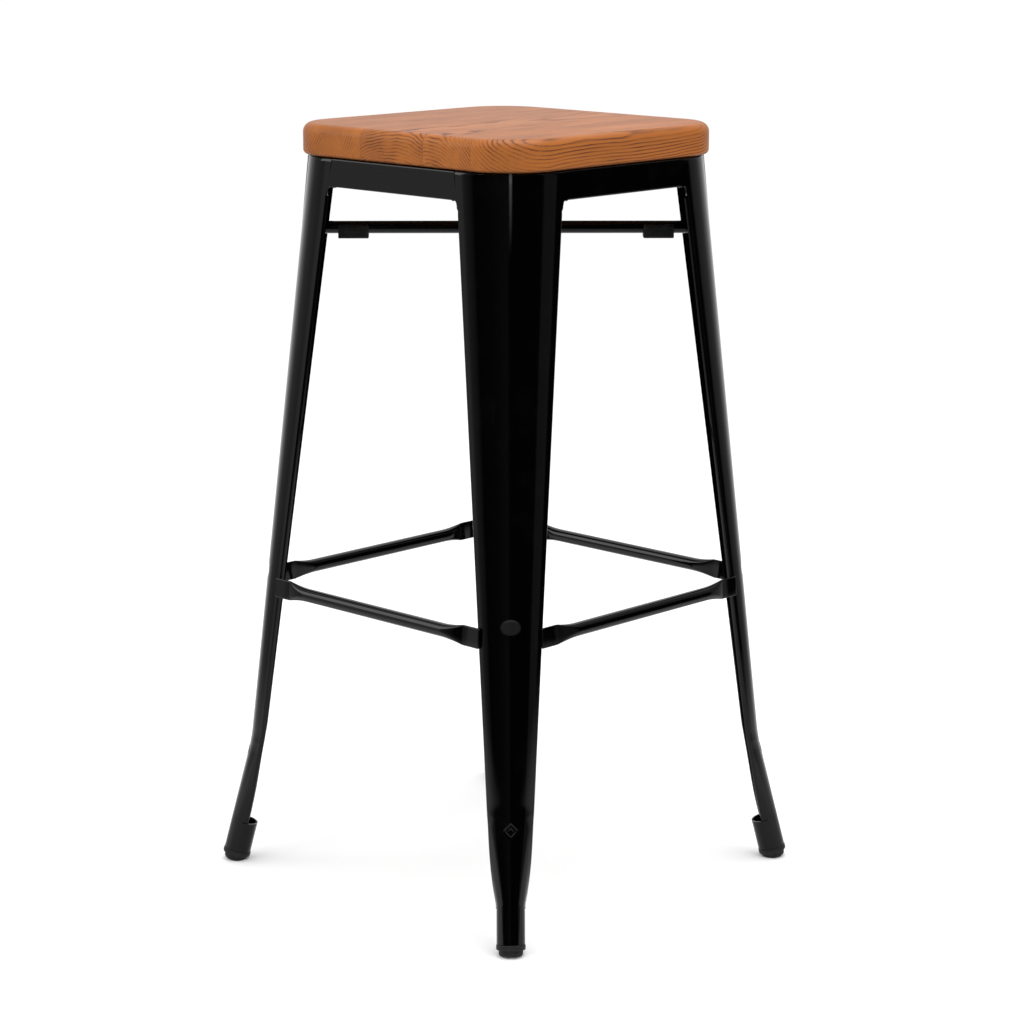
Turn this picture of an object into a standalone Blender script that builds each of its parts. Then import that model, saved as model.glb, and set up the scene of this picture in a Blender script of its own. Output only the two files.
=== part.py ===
"""Bar stool with a footrest: a pressed steel frame under a solid wooden seat.

Four pressed legs splay out from under a square seat.  Each leg is one sheet:
two flanges that lie in the stool's sides, a round corner between them, lips
along the free edges, and a curled tube at the foot that holds a rubber plug.
Folded rails join the legs under the seat, two crossed bars brace them from
corner to corner, and four tubes with flattened ends make the footrest.

Metres, +Z up.  The origin is on the floor, under the middle of the seat.
"""

import math

import bmesh
import bpy
from mathutils import Matrix, Vector

# ---------------------------------------------------------------- sizes
SEAT_HEIGHT = 0.760          # floor to the top of the seat
SEAT_SIDE = 0.315            # side of the square seat
SEAT_THICKNESS = 0.0309
SEAT_CORNER = 0.056          # corner radius in plan
SEAT_TOP_ROUND = 0.009
SEAT_BOTTOM_ROUND = 0.004
SEAT_OVERHANG = 0.001        # seat edge past the steel at its top

GAP = 0.0003                 # between pieces that touch
SHEET = 0.0015               # steel sheet
SPLAY = 0.0607               # outward run of a side for each metre of drop

LEG_FLANGE_TOP = 0.0725      # virtual corner to free edge, under the seat
LEG_FLANGE_BEND = 0.0328     # the same where the leg starts to flare
LEG_FLAT_TOP = 0.0062        # flat part of a flange, between the corner and the edge
LEG_FLAT_BEND = 0.0042
LEG_LIP_RADIUS = 0.0022
LEG_LIP_LENGTH = 0.0018      # straight part of the lip, past its curve
LEG_TOP_FOLD = 0.0035        # radius of the fold under the seat
LEG_TOP_SHELF = 0.0120       # width of the shelf under the seat

FLARE_HEIGHT = 0.130         # where the leg starts to flare
FLARE_SLOPE = 0.255          # outward run of the flare for each metre of drop
FLARE_POWER = 1.5            # how late the flanges close up along the flare
FLARE_EASE = 0.012           # half height of the soft bend
COLLAR_TOP = 0.050           # where the sheet starts to close to a tube
COLLAR_STEP = 0.005          # height over which it closes
COLLAR_BOTTOM = 0.0140       # end of the tube, on its outer side
COLLAR_RADIUS = 0.0136
COLLAR_SEAM = 6.0            # degrees left open each side of the tube's seam
CHANNEL_FLANGE_END = 0.0064  # flange left straight just above the collar
CHANNEL_ANGLE_END = 10.0     # half angle between the flanges there, degrees

APRON_HEIGHT = 0.0275        # outer face, from the seat down
APRON_SHELF = 0.0200         # width of the fold under the seat
APRON_FOLD = 0.0030
APRON_HEM_RADIUS = 0.0024
APRON_HEM_LENGTH = 0.0030
APRON_FILLET = 0.0045        # soft corner between the rail and the leg

RAIL_HEIGHT = 0.2965         # middle of the footrest tubes
RAIL_DIAMETER = 0.0134
RAIL_TAB_SPREAD = 1.478      # a flattened end is this much higher than the tube
RAIL_TAB_THICKNESS = 0.0026
RAIL_FLARE_POWER = 0.60      # under 1, a flattened end widens late and quickly
RAIL_TAB_LAP = 0.0045        # flattened end over the leg's flange
RAIL_TAB_FLAT = 0.0215       # length that is flat
RAIL_TAB_FLARE = 0.0280      # length from flat to round

BRACE_DROP = 0.0727          # middle of the crossed bars, below the steel's top
BRACE_DIAMETER = 0.0125
BRACE_PINCH = 0.0028         # thickness where one bar crosses the other
BRACE_PINCH_SPREAD = 1.48    # the pinch is this much wider than the bar
BRACE_PINCH_FLAT = 0.0120    # half length that is flat
BRACE_PINCH_FLARE = 0.0180
BRACE_END_CLEARANCE = 0.0016  # bar end to the inside of the leg's corner

PAD_LENGTH = 0.0300
PAD_WALL = 0.00220           # rubber on each side of the bar
PAD_BELOW = 0.0043           # rubber under the bar
PAD_SHY = 0.0030             # top of the rubber, below the top of the bar
PAD_INSET = 0.0496           # middle of a pad, in from the inside of the leg's corner
PAD_CORNER = 0.0025
PAD_TOP_CORNER = 0.0010

PLUG_RIM_OVERHANG = 0.0004   # rim past the outside of the tube
PLUG_RIM_LENGTH = 0.0055
PLUG_BASE_STEP = 0.0018      # the base is this much smaller than the rim
PLUG_BASE_LENGTH = 0.0063
PLUG_BASE_ROUND = 0.0030
PLUG_CLEARANCE = 0.0010      # between the stem and the inside of the tube
PLUG_STEM_LENGTH = 0.0200

SCREW_PLACE = 0.0450         # screws each side of the middle of a rail
SCREW_SHANK = 0.0044
SCREW_HEAD = 0.0090
SCREW_HEAD_HEIGHT = 0.0028
SCREW_DEPTH = 0.0160         # into the seat
SCREW_CLEARANCE = 0.0003     # around the shank

CORNER_STEPS = 10            # facets around a leg's corner
ROUND_STEPS = 16             # facets around a turned piece
CENTRE_STEPS = 12            # facets around a tube

# ------------------------------------------------------- worked out sizes
ROOT2 = math.sqrt(2.0)
FRAME_TOP = SEAT_HEIGHT - SEAT_THICKNESS - GAP
FRAME_HALF = SEAT_SIDE / 2 - SEAT_OVERHANG
APRON_BOTTOM = FRAME_TOP - APRON_HEIGHT
BRACE_HEIGHT = FRAME_TOP - BRACE_DROP
BRACE_PINCH_WIDTH = BRACE_DIAMETER * BRACE_PINCH_SPREAD
RAIL_TAB_HEIGHT = RAIL_DIAMETER * RAIL_TAB_SPREAD
PLUG_STEM_RADIUS = COLLAR_RADIUS - SHEET - PLUG_CLEARANCE
PLUG_RIM_RADIUS = COLLAR_RADIUS + PLUG_RIM_OVERHANG
PLUG_BASE_RADIUS = PLUG_RIM_RADIUS - PLUG_BASE_STEP
LIP_TOP = APRON_BOTTOM - APRON_FILLET - 0.002
FLARE_TILT = math.atan(FLARE_SLOPE)

SIDES = {"front": 0.0, "right": 90.0, "back": 180.0, "left": 270.0}
CORNERS = {"front_right": -45.0, "back_right": 45.0, "back_left": 135.0, "front_left": 225.0}

COLOURS = {
    "black_paint": ((0.012, 0.012, 0.013, 1.0), 0.22, 0.0),
    "black_rubber": ((0.020, 0.020, 0.021, 1.0), 0.75, 0.0),
    "oiled_wood": ((0.480, 0.205, 0.075, 1.0), 0.55, 0.0),
    "screw_steel": ((0.300, 0.300, 0.310, 1.0), 0.38, 1.0),
}


# ---------------------------------------------------------------- helpers
def clear_scene():
    """Empty the scene of everything that it starts with."""
    for item in list(bpy.data.objects):
        bpy.data.objects.remove(item, do_unlink=True)


def make_collection(name):
    """A new collection in the scene."""
    group = bpy.data.collections.new(name)
    bpy.context.scene.collection.children.link(group)
    return group


def make_material(name):
    """A Principled material for one kind of surface."""
    colour, roughness, metallic = COLOURS[name]
    material = bpy.data.materials.get(name) or bpy.data.materials.new(name)
    material.use_nodes = True
    shader = material.node_tree.nodes["Principled BSDF"]
    shader.inputs["Base Color"].default_value = colour
    shader.inputs["Roughness"].default_value = roughness
    shader.inputs["Metallic"].default_value = metallic
    material.diffuse_color = colour
    return material


def make_object(name, mesh, group, material):
    """A named object in its collection with its material."""
    mesh.name = name
    mesh.materials.clear()
    mesh.materials.append(make_material(material))
    item = bpy.data.objects.new(name, mesh)
    group.objects.link(item)
    return item


def grid_mesh(name, rows, keep=None, closed=False):
    """A mesh skinned over rows of points; keep(row, column) may leave faces out.

    With rows that run downwards and points that run anticlockwise, seen from
    above, the faces of an open sheet look outwards.
    """
    shape = bmesh.new()
    points = [[shape.verts.new(p) for p in row] for row in rows]
    columns = len(rows[0])
    last = columns if closed else columns - 1
    for j in range(len(rows) - 1):
        for i in range(last):
            if keep is None or keep(j, i):
                k = (i + 1) % columns
                shape.faces.new((points[j][i], points[j + 1][i], points[j + 1][k], points[j][k]))
    if closed:
        shape.faces.new(list(reversed(points[0])))
        shape.faces.new(points[-1])
        bmesh.ops.recalc_face_normals(shape, faces=shape.faces)
    loose = [v for v in shape.verts if not v.link_faces]
    bmesh.ops.delete(shape, geom=loose, context="VERTS")
    mesh = bpy.data.meshes.new(name)
    shape.to_mesh(mesh)
    shape.free()
    return mesh


def smooth_round(mesh, degrees=40.0):
    """Smooth shading with the sharp edges kept."""
    mesh.shade_smooth()
    mesh.set_sharp_from_angle(angle=math.radians(degrees))


def add_sheet(item, thickness, side):
    """Give an open surface its thickness, on one side of it."""
    solid = item.modifiers.new("Sheet", "SOLIDIFY")
    solid.thickness = thickness
    solid.offset = side
    solid.use_even_offset = True
    solid.use_rim = True


def cut_with(item, cutter, name):
    """Take the cutter's shape out of the item."""
    cut = item.modifiers.new(name, "BOOLEAN")
    cut.operation = "DIFFERENCE"
    cut.object = cutter


def make_cutter(item):
    """Mark an object as a cutter."""
    item.hide_render = True
    item.display_type = "WIRE"
    return item


def baked(item):
    """The item's mesh with its modifiers applied, in its own space."""
    bpy.context.view_layer.update()
    graph = bpy.context.evaluated_depsgraph_get()
    return bpy.data.meshes.new_from_object(item.evaluated_get(graph))


def turned(name, profile, steps, group, material):
    """A turned piece about +Z; the profile runs from the top down its outer side."""
    shape = bmesh.new()
    verts = [shape.verts.new((radius, 0.0, height)) for radius, height in profile]
    for a, b in zip(verts, verts[1:]):
        shape.edges.new((a, b))
    mesh = bpy.data.meshes.new(name)
    shape.to_mesh(mesh)
    shape.free()
    item = make_object(name, mesh, group, material)
    spin = item.modifiers.new("Turn", "SCREW")
    spin.axis = "Z"
    spin.steps = steps
    spin.render_steps = steps
    spin.use_merge_vertices = True
    spin.merge_threshold = 0.00001
    spin.use_normal_calculate = True
    return item


def lerp(a, b, t):
    """The value a share t of the way from a to b."""
    return a + (b - a) * t


# ------------------------------------------------------------------- legs
def side_plane(z):
    """Distance of the stool's sloping side from the middle at a height."""
    return FRAME_HALF + SPLAY * (FRAME_TOP - z)


def leg_share(z):
    """0 where the flare starts, 1 under the seat."""
    return (z - FLARE_HEIGHT) / (FRAME_TOP - FLARE_HEIGHT)


def leg_flange(z):
    """Width of a leg's flange, from the virtual corner, at a height."""
    return lerp(LEG_FLANGE_BEND, LEG_FLANGE_TOP, leg_share(z))


def leg_corner(z):
    """Corner radius of a leg at a height above the flare."""
    return leg_flange(z) - lerp(LEG_FLAT_BEND, LEG_FLAT_TOP, leg_share(z))


def leg_tip(z):
    """How far the leg's round corner reaches along the diagonal at a height."""
    straight = ROOT2 * side_plane(z) - (ROOT2 - 1.0) * leg_corner(max(z, FLARE_HEIGHT))
    low = z - FLARE_HEIGHT
    extra = FLARE_SLOPE - SPLAY * ROOT2
    if low >= FLARE_EASE:
        return straight
    if low <= -FLARE_EASE:
        return straight - extra * low
    return straight + extra * (FLARE_EASE - low) ** 2 / (4.0 * FLARE_EASE)


def channel_section(radius, angle, flange, lip):
    """One half of a channel, as (inward, sideways) points from its tip to its edge.

    The flange leaves the round corner at the given half angle to the inward
    direction.  With a lip the flange ends in a tight curve that turns inward.
    """
    points = []
    half = CORNER_STEPS // 2
    for i in range(half + 1):
        turn = (math.pi / 2 - angle) * i / half
        points.append((radius - radius * math.cos(turn), radius * math.sin(turn)))
    start = points[-1]
    along = (math.cos(angle), math.sin(angle))
    inside = (math.sin(angle), -math.cos(angle))
    straight = flange - lip
    for i in (1, 2):
        step = straight * i / 2
        points.append((start[0] + along[0] * step, start[1] + along[1] * step))
    edge = points[-1]
    for turn in (45.0, 90.0):
        a = math.radians(turn)
        run = lip * math.sin(a)
        drop = lip * (1.0 - math.cos(a))
        points.append((edge[0] + along[0] * run + inside[0] * drop,
                       edge[1] + along[1] * run + inside[1] * drop))
    tail = points[-1]
    points.append((tail[0] + inside[0] * LEG_LIP_LENGTH, tail[1] + inside[1] * LEG_LIP_LENGTH))
    return points


def tube_section():
    """One half of the curled foot, as (inward, sideways) points from its tip."""
    count = CORNER_STEPS // 2 + 2
    points = []
    for i in range(count + 1):
        turn = math.radians(180.0 - COLLAR_SEAM) * i / count
        points.append((COLLAR_RADIUS * (1.0 - math.cos(turn)), COLLAR_RADIUS * math.sin(turn)))
    return points + [points[-1]] * 3


def leg_row(z):
    """Tip, tilt and half section of the leg at a height above the shelf fold."""
    angle = math.radians(45.0)
    if z >= FLARE_HEIGHT:
        flange = leg_flange(z) - leg_corner(z)
        lip = LEG_LIP_RADIUS if z <= LIP_TOP else 0.0
        return leg_tip(z), 0.0, channel_section(leg_corner(z), angle, flange, lip)
    share = min(1.0, (FLARE_HEIGHT - z) / (FLARE_HEIGHT - COLLAR_TOP))
    tilt = FLARE_TILT * share
    if z <= COLLAR_TOP - COLLAR_STEP:
        return leg_tip(z), tilt, tube_section()
    radius = lerp(leg_corner(FLARE_HEIGHT), COLLAR_RADIUS, share)
    flange = lerp(LEG_FLAT_BEND, CHANNEL_FLANGE_END, share)
    close = math.radians(lerp(45.0, CHANNEL_ANGLE_END, share ** FLARE_POWER))
    return leg_tip(z), tilt, channel_section(radius, close, flange, LEG_LIP_RADIUS)


def whole_row(half):
    """Both halves of a section in one list, left edge to right edge."""
    left = [(inward, -aside) for inward, aside in reversed(half[1:])]
    return left + half


def leg_points(z, inset=0.0, level=None):
    """World points of one row of the leg that stands on the +X diagonal.

    A row above the flare may be moved inward by an inset and lie at its own
    level, which folds the sheet over into the shelf under the seat.
    """
    if inset > 0.0:
        corner = leg_corner(z) - inset
        flange = leg_flange(z) - leg_corner(z)
        half = channel_section(corner, math.radians(45.0), flange, 0.0)
        tip = leg_tip(z) - inset
        tilt = 0.0
    else:
        tip, tilt, half = leg_row(z)
    height = z if level is None else level
    row = []
    for inward, aside in whole_row(half):
        row.append((tip - inward * math.cos(tilt), aside, height - inward * math.sin(tilt)))
    return row


def leg_heights():
    """Heights of a leg's rows, from under the fold down to the foot."""
    top = FRAME_TOP - LEG_TOP_FOLD
    straight = [top, APRON_BOTTOM, LIP_TOP]
    spans = 6
    bottom = FLARE_HEIGHT + FLARE_EASE
    straight += [lerp(LIP_TOP, bottom, i / spans) for i in range(1, spans + 1)]
    flare = [FLARE_HEIGHT, FLARE_HEIGHT - FLARE_EASE]
    spans = 5
    low = FLARE_HEIGHT - FLARE_EASE
    flare += [lerp(low, COLLAR_TOP, i / spans) for i in range(1, spans + 1)]
    collar = [COLLAR_TOP - COLLAR_STEP, lerp(COLLAR_TOP - COLLAR_STEP, COLLAR_BOTTOM, 0.5)]
    return straight + flare + collar + [COLLAR_BOTTOM]


def make_leg_mesh():
    """The sheet of one leg, standing on the +X diagonal."""
    shelf = [leg_points(FRAME_TOP, LEG_TOP_FOLD + LEG_TOP_SHELF, FRAME_TOP)]
    shelf.append(leg_points(FRAME_TOP, LEG_TOP_FOLD, FRAME_TOP))
    bend = LEG_TOP_FOLD * (1.0 - math.sqrt(0.5))
    shelf.append(leg_points(FRAME_TOP, bend, FRAME_TOP - bend))
    heights = leg_heights()
    rows = shelf + [leg_points(z) for z in heights]
    lips = 3
    columns = len(rows[0])
    first = len(shelf) + heights.index(LIP_TOP)
    last = len(shelf) + heights.index(COLLAR_TOP - COLLAR_STEP) - 1

    def keep(j, i):
        on_lip = i < lips or i >= columns - 1 - lips
        return not on_lip or first <= j < last

    mesh = grid_mesh("leg", rows, keep)
    smooth_round(mesh)
    return mesh


def make_legs(group):
    """The four legs, one on each corner."""
    mesh = make_leg_mesh()
    for corner, degrees in CORNERS.items():
        item = make_object("leg_" + corner, mesh.copy(), group, "black_paint")
        item.rotation_euler = (0.0, 0.0, math.radians(degrees))
        add_sheet(item, SHEET, -1.0)


# ----------------------------------------------------------------- aprons
def seam_place(z):
    """Distance along a side from its middle to the edge of a leg's flange."""
    return side_plane(z) - leg_flange(z)


def apron_profile():
    """The rail's folded section as (inset, height, drop share) points."""
    points = [(APRON_FOLD + APRON_SHELF, FRAME_TOP, 0.0), (APRON_FOLD, FRAME_TOP, 0.0)]
    bend = APRON_FOLD * (1.0 - math.sqrt(0.5))
    points.append((bend, FRAME_TOP - bend, 0.0))
    points.append((0.0, FRAME_TOP - APRON_FOLD, 0.0))
    points.append((0.0, APRON_BOTTOM + APRON_HEM_RADIUS, 1.0))
    curl = APRON_HEM_RADIUS * (1.0 - math.sqrt(0.5))
    points.append((curl, APRON_BOTTOM + curl, 1.0))
    points.append((APRON_HEM_RADIUS, APRON_BOTTOM, 1.0))
    points.append((APRON_HEM_RADIUS + APRON_HEM_LENGTH, APRON_BOTTOM, 1.0))
    return points


def fillet_drop(distance):
    """How far the rail's lower edge drops at a distance from its end."""
    if distance >= APRON_FILLET:
        return 0.0
    run = APRON_FILLET - distance
    return APRON_FILLET - math.sqrt(max(0.0, APRON_FILLET ** 2 - run ** 2))


def apron_stations():
    """Distances in from a rail's end at which the lower edge has a point."""
    count = 4
    curve = [APRON_FILLET * (1.0 - math.cos(math.pi / 2 * i / count)) for i in range(count + 1)]
    return curve + [0.020]


def make_apron_mesh():
    """The folded rail of the side that faces -Y."""
    rows = []
    for inset, height, share in apron_profile():
        end = seam_place(height) - GAP
        row = []
        for sign in (-1.0, 1.0):
            stations = apron_stations()
            if sign > 0.0:
                stations = list(reversed(stations))
            for distance in stations:
                z = height - share * fillet_drop(distance)
                row.append((sign * (end - distance), inset - side_plane(z), z))
        rows.append(row)
    face_end = 4
    soft = len(apron_stations()) - 2
    columns = len(rows[0])

    def keep(j, i):
        return j < face_end or soft <= i < columns - 1 - soft

    mesh = grid_mesh("apron", rows, keep)
    smooth_round(mesh)
    return mesh


def make_aprons(group, cutters):
    """The four rails with their screw holes."""
    mesh = make_apron_mesh()
    for side, degrees in SIDES.items():
        item = make_object("apron_" + side, mesh.copy(), group, "black_paint")
        item.rotation_euler = (0.0, 0.0, math.radians(degrees))
        add_sheet(item, SHEET, -1.0)
        for number, cutter in enumerate(cutters[side]):
            cut_with(item, cutter, "Screw hole %d" % (number + 1))


# ------------------------------------------------------------------- seat
def make_seat(group, cutters):
    """The wooden board: round corners, a soft top edge and pilot holes."""
    bpy.ops.mesh.primitive_cube_add(size=1.0)
    item = bpy.context.active_object
    mesh = item.data.copy()
    bpy.data.objects.remove(item, do_unlink=True)
    middle = SEAT_HEIGHT - SEAT_THICKNESS / 2
    mesh.transform(Matrix.Translation((0.0, 0.0, middle)) @ Matrix.Diagonal(
        (SEAT_SIDE, SEAT_SIDE, SEAT_THICKNESS, 1.0)))
    shape = bmesh.new()
    shape.from_mesh(mesh)
    upright = [e for e in shape.edges
               if abs(e.verts[0].co.z - e.verts[1].co.z) > SEAT_THICKNESS / 2]
    bmesh.ops.bevel(shape, geom=upright, offset=SEAT_CORNER, offset_type="OFFSET",
                    segments=8, profile=0.5, affect="EDGES")
    for level, width, steps in ((SEAT_HEIGHT, SEAT_TOP_ROUND, 3),
                                (SEAT_HEIGHT - SEAT_THICKNESS, SEAT_BOTTOM_ROUND, 2)):
        rim = [e for e in shape.edges if len(e.link_faces) == 2
               and all(abs(v.co.z - level) < 1e-6 for v in e.verts)
               and any(abs(f.normal.z) < 0.5 for f in e.link_faces)]
        bmesh.ops.bevel(shape, geom=rim, offset=width, offset_type="OFFSET",
                        segments=steps, profile=0.5, affect="EDGES")
    shape.to_mesh(mesh)
    shape.free()
    smooth_round(mesh, 35.0)
    item = make_object("seat_board", mesh, group, "oiled_wood")
    for side in SIDES:
        for number, cutter in enumerate(cutters[side]):
            cut_with(item, cutter, "Pilot hole %s %d" % (side, number + 1))


# ----------------------------------------------------------------- screws
def screw_spots(degrees):
    """The two screw places of one side, on the middle of its shelf."""
    inset = side_plane(FRAME_TOP) - APRON_FOLD - APRON_SHELF / 2
    turn = Matrix.Rotation(math.radians(degrees), 3, "Z")
    return [turn @ Vector((sign * SCREW_PLACE, -inset, 0.0)) for sign in (-1.0, 1.0)]


def make_screw_cutters(group):
    """Holes for the screws, through the shelf and up into the seat."""
    cutters = {}
    reach = SHEET + GAP + SCREW_DEPTH + 0.002
    low = FRAME_TOP - SHEET - 0.001
    for side, degrees in SIDES.items():
        cutters[side] = []
        for number, spot in enumerate(screw_spots(degrees)):
            shape = bmesh.new()
            radius = SCREW_SHANK / 2 + SCREW_CLEARANCE
            bmesh.ops.create_cone(shape, cap_ends=True, segments=CENTRE_STEPS,
                                  radius1=radius, radius2=radius, depth=reach)
            mesh = bpy.data.meshes.new("screw_hole")
            shape.to_mesh(mesh)
            shape.free()
            item = bpy.data.objects.new("cut_%s_%d" % (side, number + 1), mesh)
            item.location = (spot.x, spot.y, low + reach / 2)
            group.objects.link(item)
            cutters[side].append(make_cutter(item))
    return cutters


def make_screws(group):
    """Round-headed screws that hold the seat from below."""
    head = SCREW_HEAD / 2
    shank = SCREW_SHANK / 2
    under = FRAME_TOP - SHEET - GAP
    tip = under + SHEET + GAP + SCREW_DEPTH
    profile = [(0.0, tip), (shank * 0.35, tip - 0.0005), (shank, tip - 0.004), (shank, under),
               (head, under), (head, under - SCREW_HEAD_HEIGHT * 0.45),
               (head * 0.72, under - SCREW_HEAD_HEIGHT * 0.85), (0.0, under - SCREW_HEAD_HEIGHT)]
    profile = [(radius, height - under) for radius, height in profile]
    for side, degrees in SIDES.items():
        for number, spot in enumerate(screw_spots(degrees)):
            name = "seat_screw_%s_%d" % (side, number + 1)
            item = turned(name, profile, CENTRE_STEPS, group, "screw_steel")
            item.location = (spot.x, spot.y, under)


# --------------------------------------------------------- footrest rails
def oblong(height, width):
    """A closed section, a circle when both sizes agree, as (width, height) points."""
    radius = min(height, width) / 2
    points = []
    for i in range(CENTRE_STEPS):
        turn = 2.0 * math.pi * (i + 0.5) / CENTRE_STEPS
        y = radius * math.cos(turn)
        z = radius * math.sin(turn)
        shift_y = math.copysign(width / 2 - radius, y)
        shift_z = math.copysign(height / 2 - radius, z)
        points.append((y + shift_y, z + shift_z))
    return points


def flattening(distance, flat, flare, power=1.0):
    """1 on the flat part, 0 on the round part and a soft step between."""
    t = (distance - flat) / flare
    t = min(1.0, max(0.0, t)) ** power
    return 1.0 - t * t * (3.0 - 2.0 * t)


def rail_reach():
    """Half length of a footrest tube: its flat end laps the leg's flange."""
    return seam_place(RAIL_HEIGHT) + RAIL_TAB_LAP


def make_rail_mesh():
    """A tube along X with flattened ends, centred on its own origin."""
    reach = rail_reach()
    ends = [0.0, 0.0018, 0.0060, RAIL_TAB_FLAT]
    ends += [RAIL_TAB_FLAT + RAIL_TAB_FLARE * (i / 5) ** 1.4 for i in range(1, 6)]
    rows = []
    for sign in (-1.0, 1.0):
        places = ends if sign < 0.0 else list(reversed(ends))
        for place in places:
            share = flattening(place, RAIL_TAB_FLAT, RAIL_TAB_FLARE, RAIL_FLARE_POWER)
            height = lerp(RAIL_DIAMETER, RAIL_TAB_HEIGHT, share)
            width = lerp(RAIL_DIAMETER, RAIL_TAB_THICKNESS, share)
            if place == 0.0:
                height -= 0.0030
            rows.append([(sign * (reach - place), y, z) for y, z in oblong(height, width)])
    mesh = grid_mesh("footrest", rows, closed=True)
    smooth_round(mesh)
    return mesh


def make_rails(group):
    """The four footrest tubes, lapped on the outside of the legs."""
    mesh = make_rail_mesh()
    lean = math.atan(SPLAY)
    out = side_plane(RAIL_HEIGHT) + (RAIL_TAB_THICKNESS / 2 + GAP) / math.cos(lean)
    for side, degrees in SIDES.items():
        item = make_object("footrest_" + side, mesh.copy(), group, "black_paint")
        turn = Matrix.Rotation(math.radians(degrees), 4, "Z")
        place = Matrix.Translation((0.0, -out, RAIL_HEIGHT))
        tilt = Matrix.Rotation(-lean, 4, "X")
        item.matrix_world = turn @ place @ tilt


# --------------------------------------------------------- crossed braces
def make_brace(name, degrees, lift, group):
    """A bar from corner to corner, pinched flat where it crosses the other."""
    z = BRACE_HEIGHT
    wall = leg_tip(z) - SHEET
    reach = wall - BRACE_END_CLEARANCE
    flat = BRACE_PINCH_FLAT
    ends = [flat, flat + BRACE_PINCH_FLARE / 4, flat + BRACE_PINCH_FLARE / 2,
            flat + BRACE_PINCH_FLARE * 3 / 4, flat + BRACE_PINCH_FLARE, reach]
    places = [-p for p in reversed(ends)] + ends
    rows = []
    for place in places:
        share = flattening(abs(place), flat, BRACE_PINCH_FLARE)
        height = lerp(BRACE_DIAMETER, BRACE_PINCH, share)
        width = lerp(BRACE_DIAMETER, BRACE_PINCH_WIDTH, share)
        shift = lift * share
        rows.append([(place, y, w + shift) for y, w in oblong(height, width)])
    mesh = grid_mesh(name, rows, closed=True)
    smooth_round(mesh)
    item = make_object(name, mesh, group, "black_paint")
    item.location = (0.0, 0.0, z)
    item.rotation_euler = (0.0, 0.0, math.radians(degrees))


def make_braces(group):
    """The two crossed bars under the seat."""
    lift = (BRACE_PINCH + GAP) / 2
    make_brace("cross_brace_upper", 45.0, lift, group)
    make_brace("cross_brace_lower", 135.0, -lift, group)


def pad_outline():
    """The pad's section: a block with a round groove that clips on the bar."""
    bore = BRACE_DIAMETER / 2 + GAP
    half = bore + PAD_WALL
    top = BRACE_DIAMETER / 2 - PAD_SHY
    low = -BRACE_DIAMETER / 2 - PAD_BELOW
    mouth = math.sqrt(bore ** 2 - top ** 2)
    start = math.asin(mouth / bore)
    points = [(mouth, top), (half - PAD_TOP_CORNER, top), (half, top - PAD_TOP_CORNER),
              (half, low + PAD_CORNER), (half - PAD_CORNER, low)]
    points += [(-y, z) for y, z in reversed(points)]
    steps = 10
    for i in range(steps + 1):
        turn = start + (2.0 * math.pi - 2.0 * start) * i / steps
        points.append((-bore * math.sin(turn), bore * math.cos(turn)))
    return points


def make_pads(group):
    """The four rubber pads that a stacked stool sits on."""
    curve = bpy.data.curves.new("pad_outline", "CURVE")
    curve.dimensions = "2D"
    curve.fill_mode = "BOTH"
    curve.extrude = PAD_LENGTH / 2
    spline = curve.splines.new("POLY")
    outline = pad_outline()
    spline.points.add(len(outline) - 1)
    for point, (y, z) in zip(spline.points, outline):
        point.co = (y, z, 0.0, 1.0)
    spline.use_cyclic_u = True
    guide = bpy.data.objects.new("pad_outline", curve)
    group.objects.link(guide)
    mesh = baked(guide)
    bpy.data.objects.remove(guide, do_unlink=True)
    shape = bmesh.new()
    shape.from_mesh(mesh)
    bmesh.ops.remove_doubles(shape, verts=shape.verts, dist=0.00001)
    bmesh.ops.recalc_face_normals(shape, faces=shape.faces)
    shape.to_mesh(mesh)
    shape.free()
    stand = Matrix(((0.0, 0.0, 1.0, 0.0), (1.0, 0.0, 0.0, 0.0), (0.0, 1.0, 0.0, 0.0),
                    (0.0, 0.0, 0.0, 1.0)))
    mesh.transform(stand)
    place = leg_tip(BRACE_HEIGHT) - SHEET - PAD_INSET
    for corner, degrees in CORNERS.items():
        item = make_object("stacking_pad_" + corner, mesh.copy(), group, "black_rubber")
        turn = Matrix.Rotation(math.radians(degrees), 4, "Z")
        item.matrix_world = turn @ Matrix.Translation((place, 0.0, BRACE_HEIGHT))


# ------------------------------------------------------------- foot plugs
def plug_profile():
    """The plug's half section, from the end of its stem down to its base."""
    base = -PLUG_RIM_LENGTH - PLUG_BASE_LENGTH
    soft = PLUG_BASE_ROUND * (1.0 - math.sqrt(0.5))
    return [(0.0, PLUG_STEM_LENGTH), (PLUG_STEM_RADIUS - 0.0015, PLUG_STEM_LENGTH),
            (PLUG_STEM_RADIUS, PLUG_STEM_LENGTH - 0.003), (PLUG_STEM_RADIUS, -GAP),
            (PLUG_RIM_RADIUS - 0.0004, -GAP), (PLUG_RIM_RADIUS, -0.0012),
            (PLUG_RIM_RADIUS, -PLUG_RIM_LENGTH + 0.001),
            (PLUG_RIM_RADIUS - 0.001, -PLUG_RIM_LENGTH), (PLUG_BASE_RADIUS, -PLUG_RIM_LENGTH),
            (PLUG_BASE_RADIUS, base + PLUG_BASE_ROUND), (PLUG_BASE_RADIUS - soft, base + soft),
            (PLUG_BASE_RADIUS - PLUG_BASE_ROUND, base), (0.0, base)]


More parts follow.
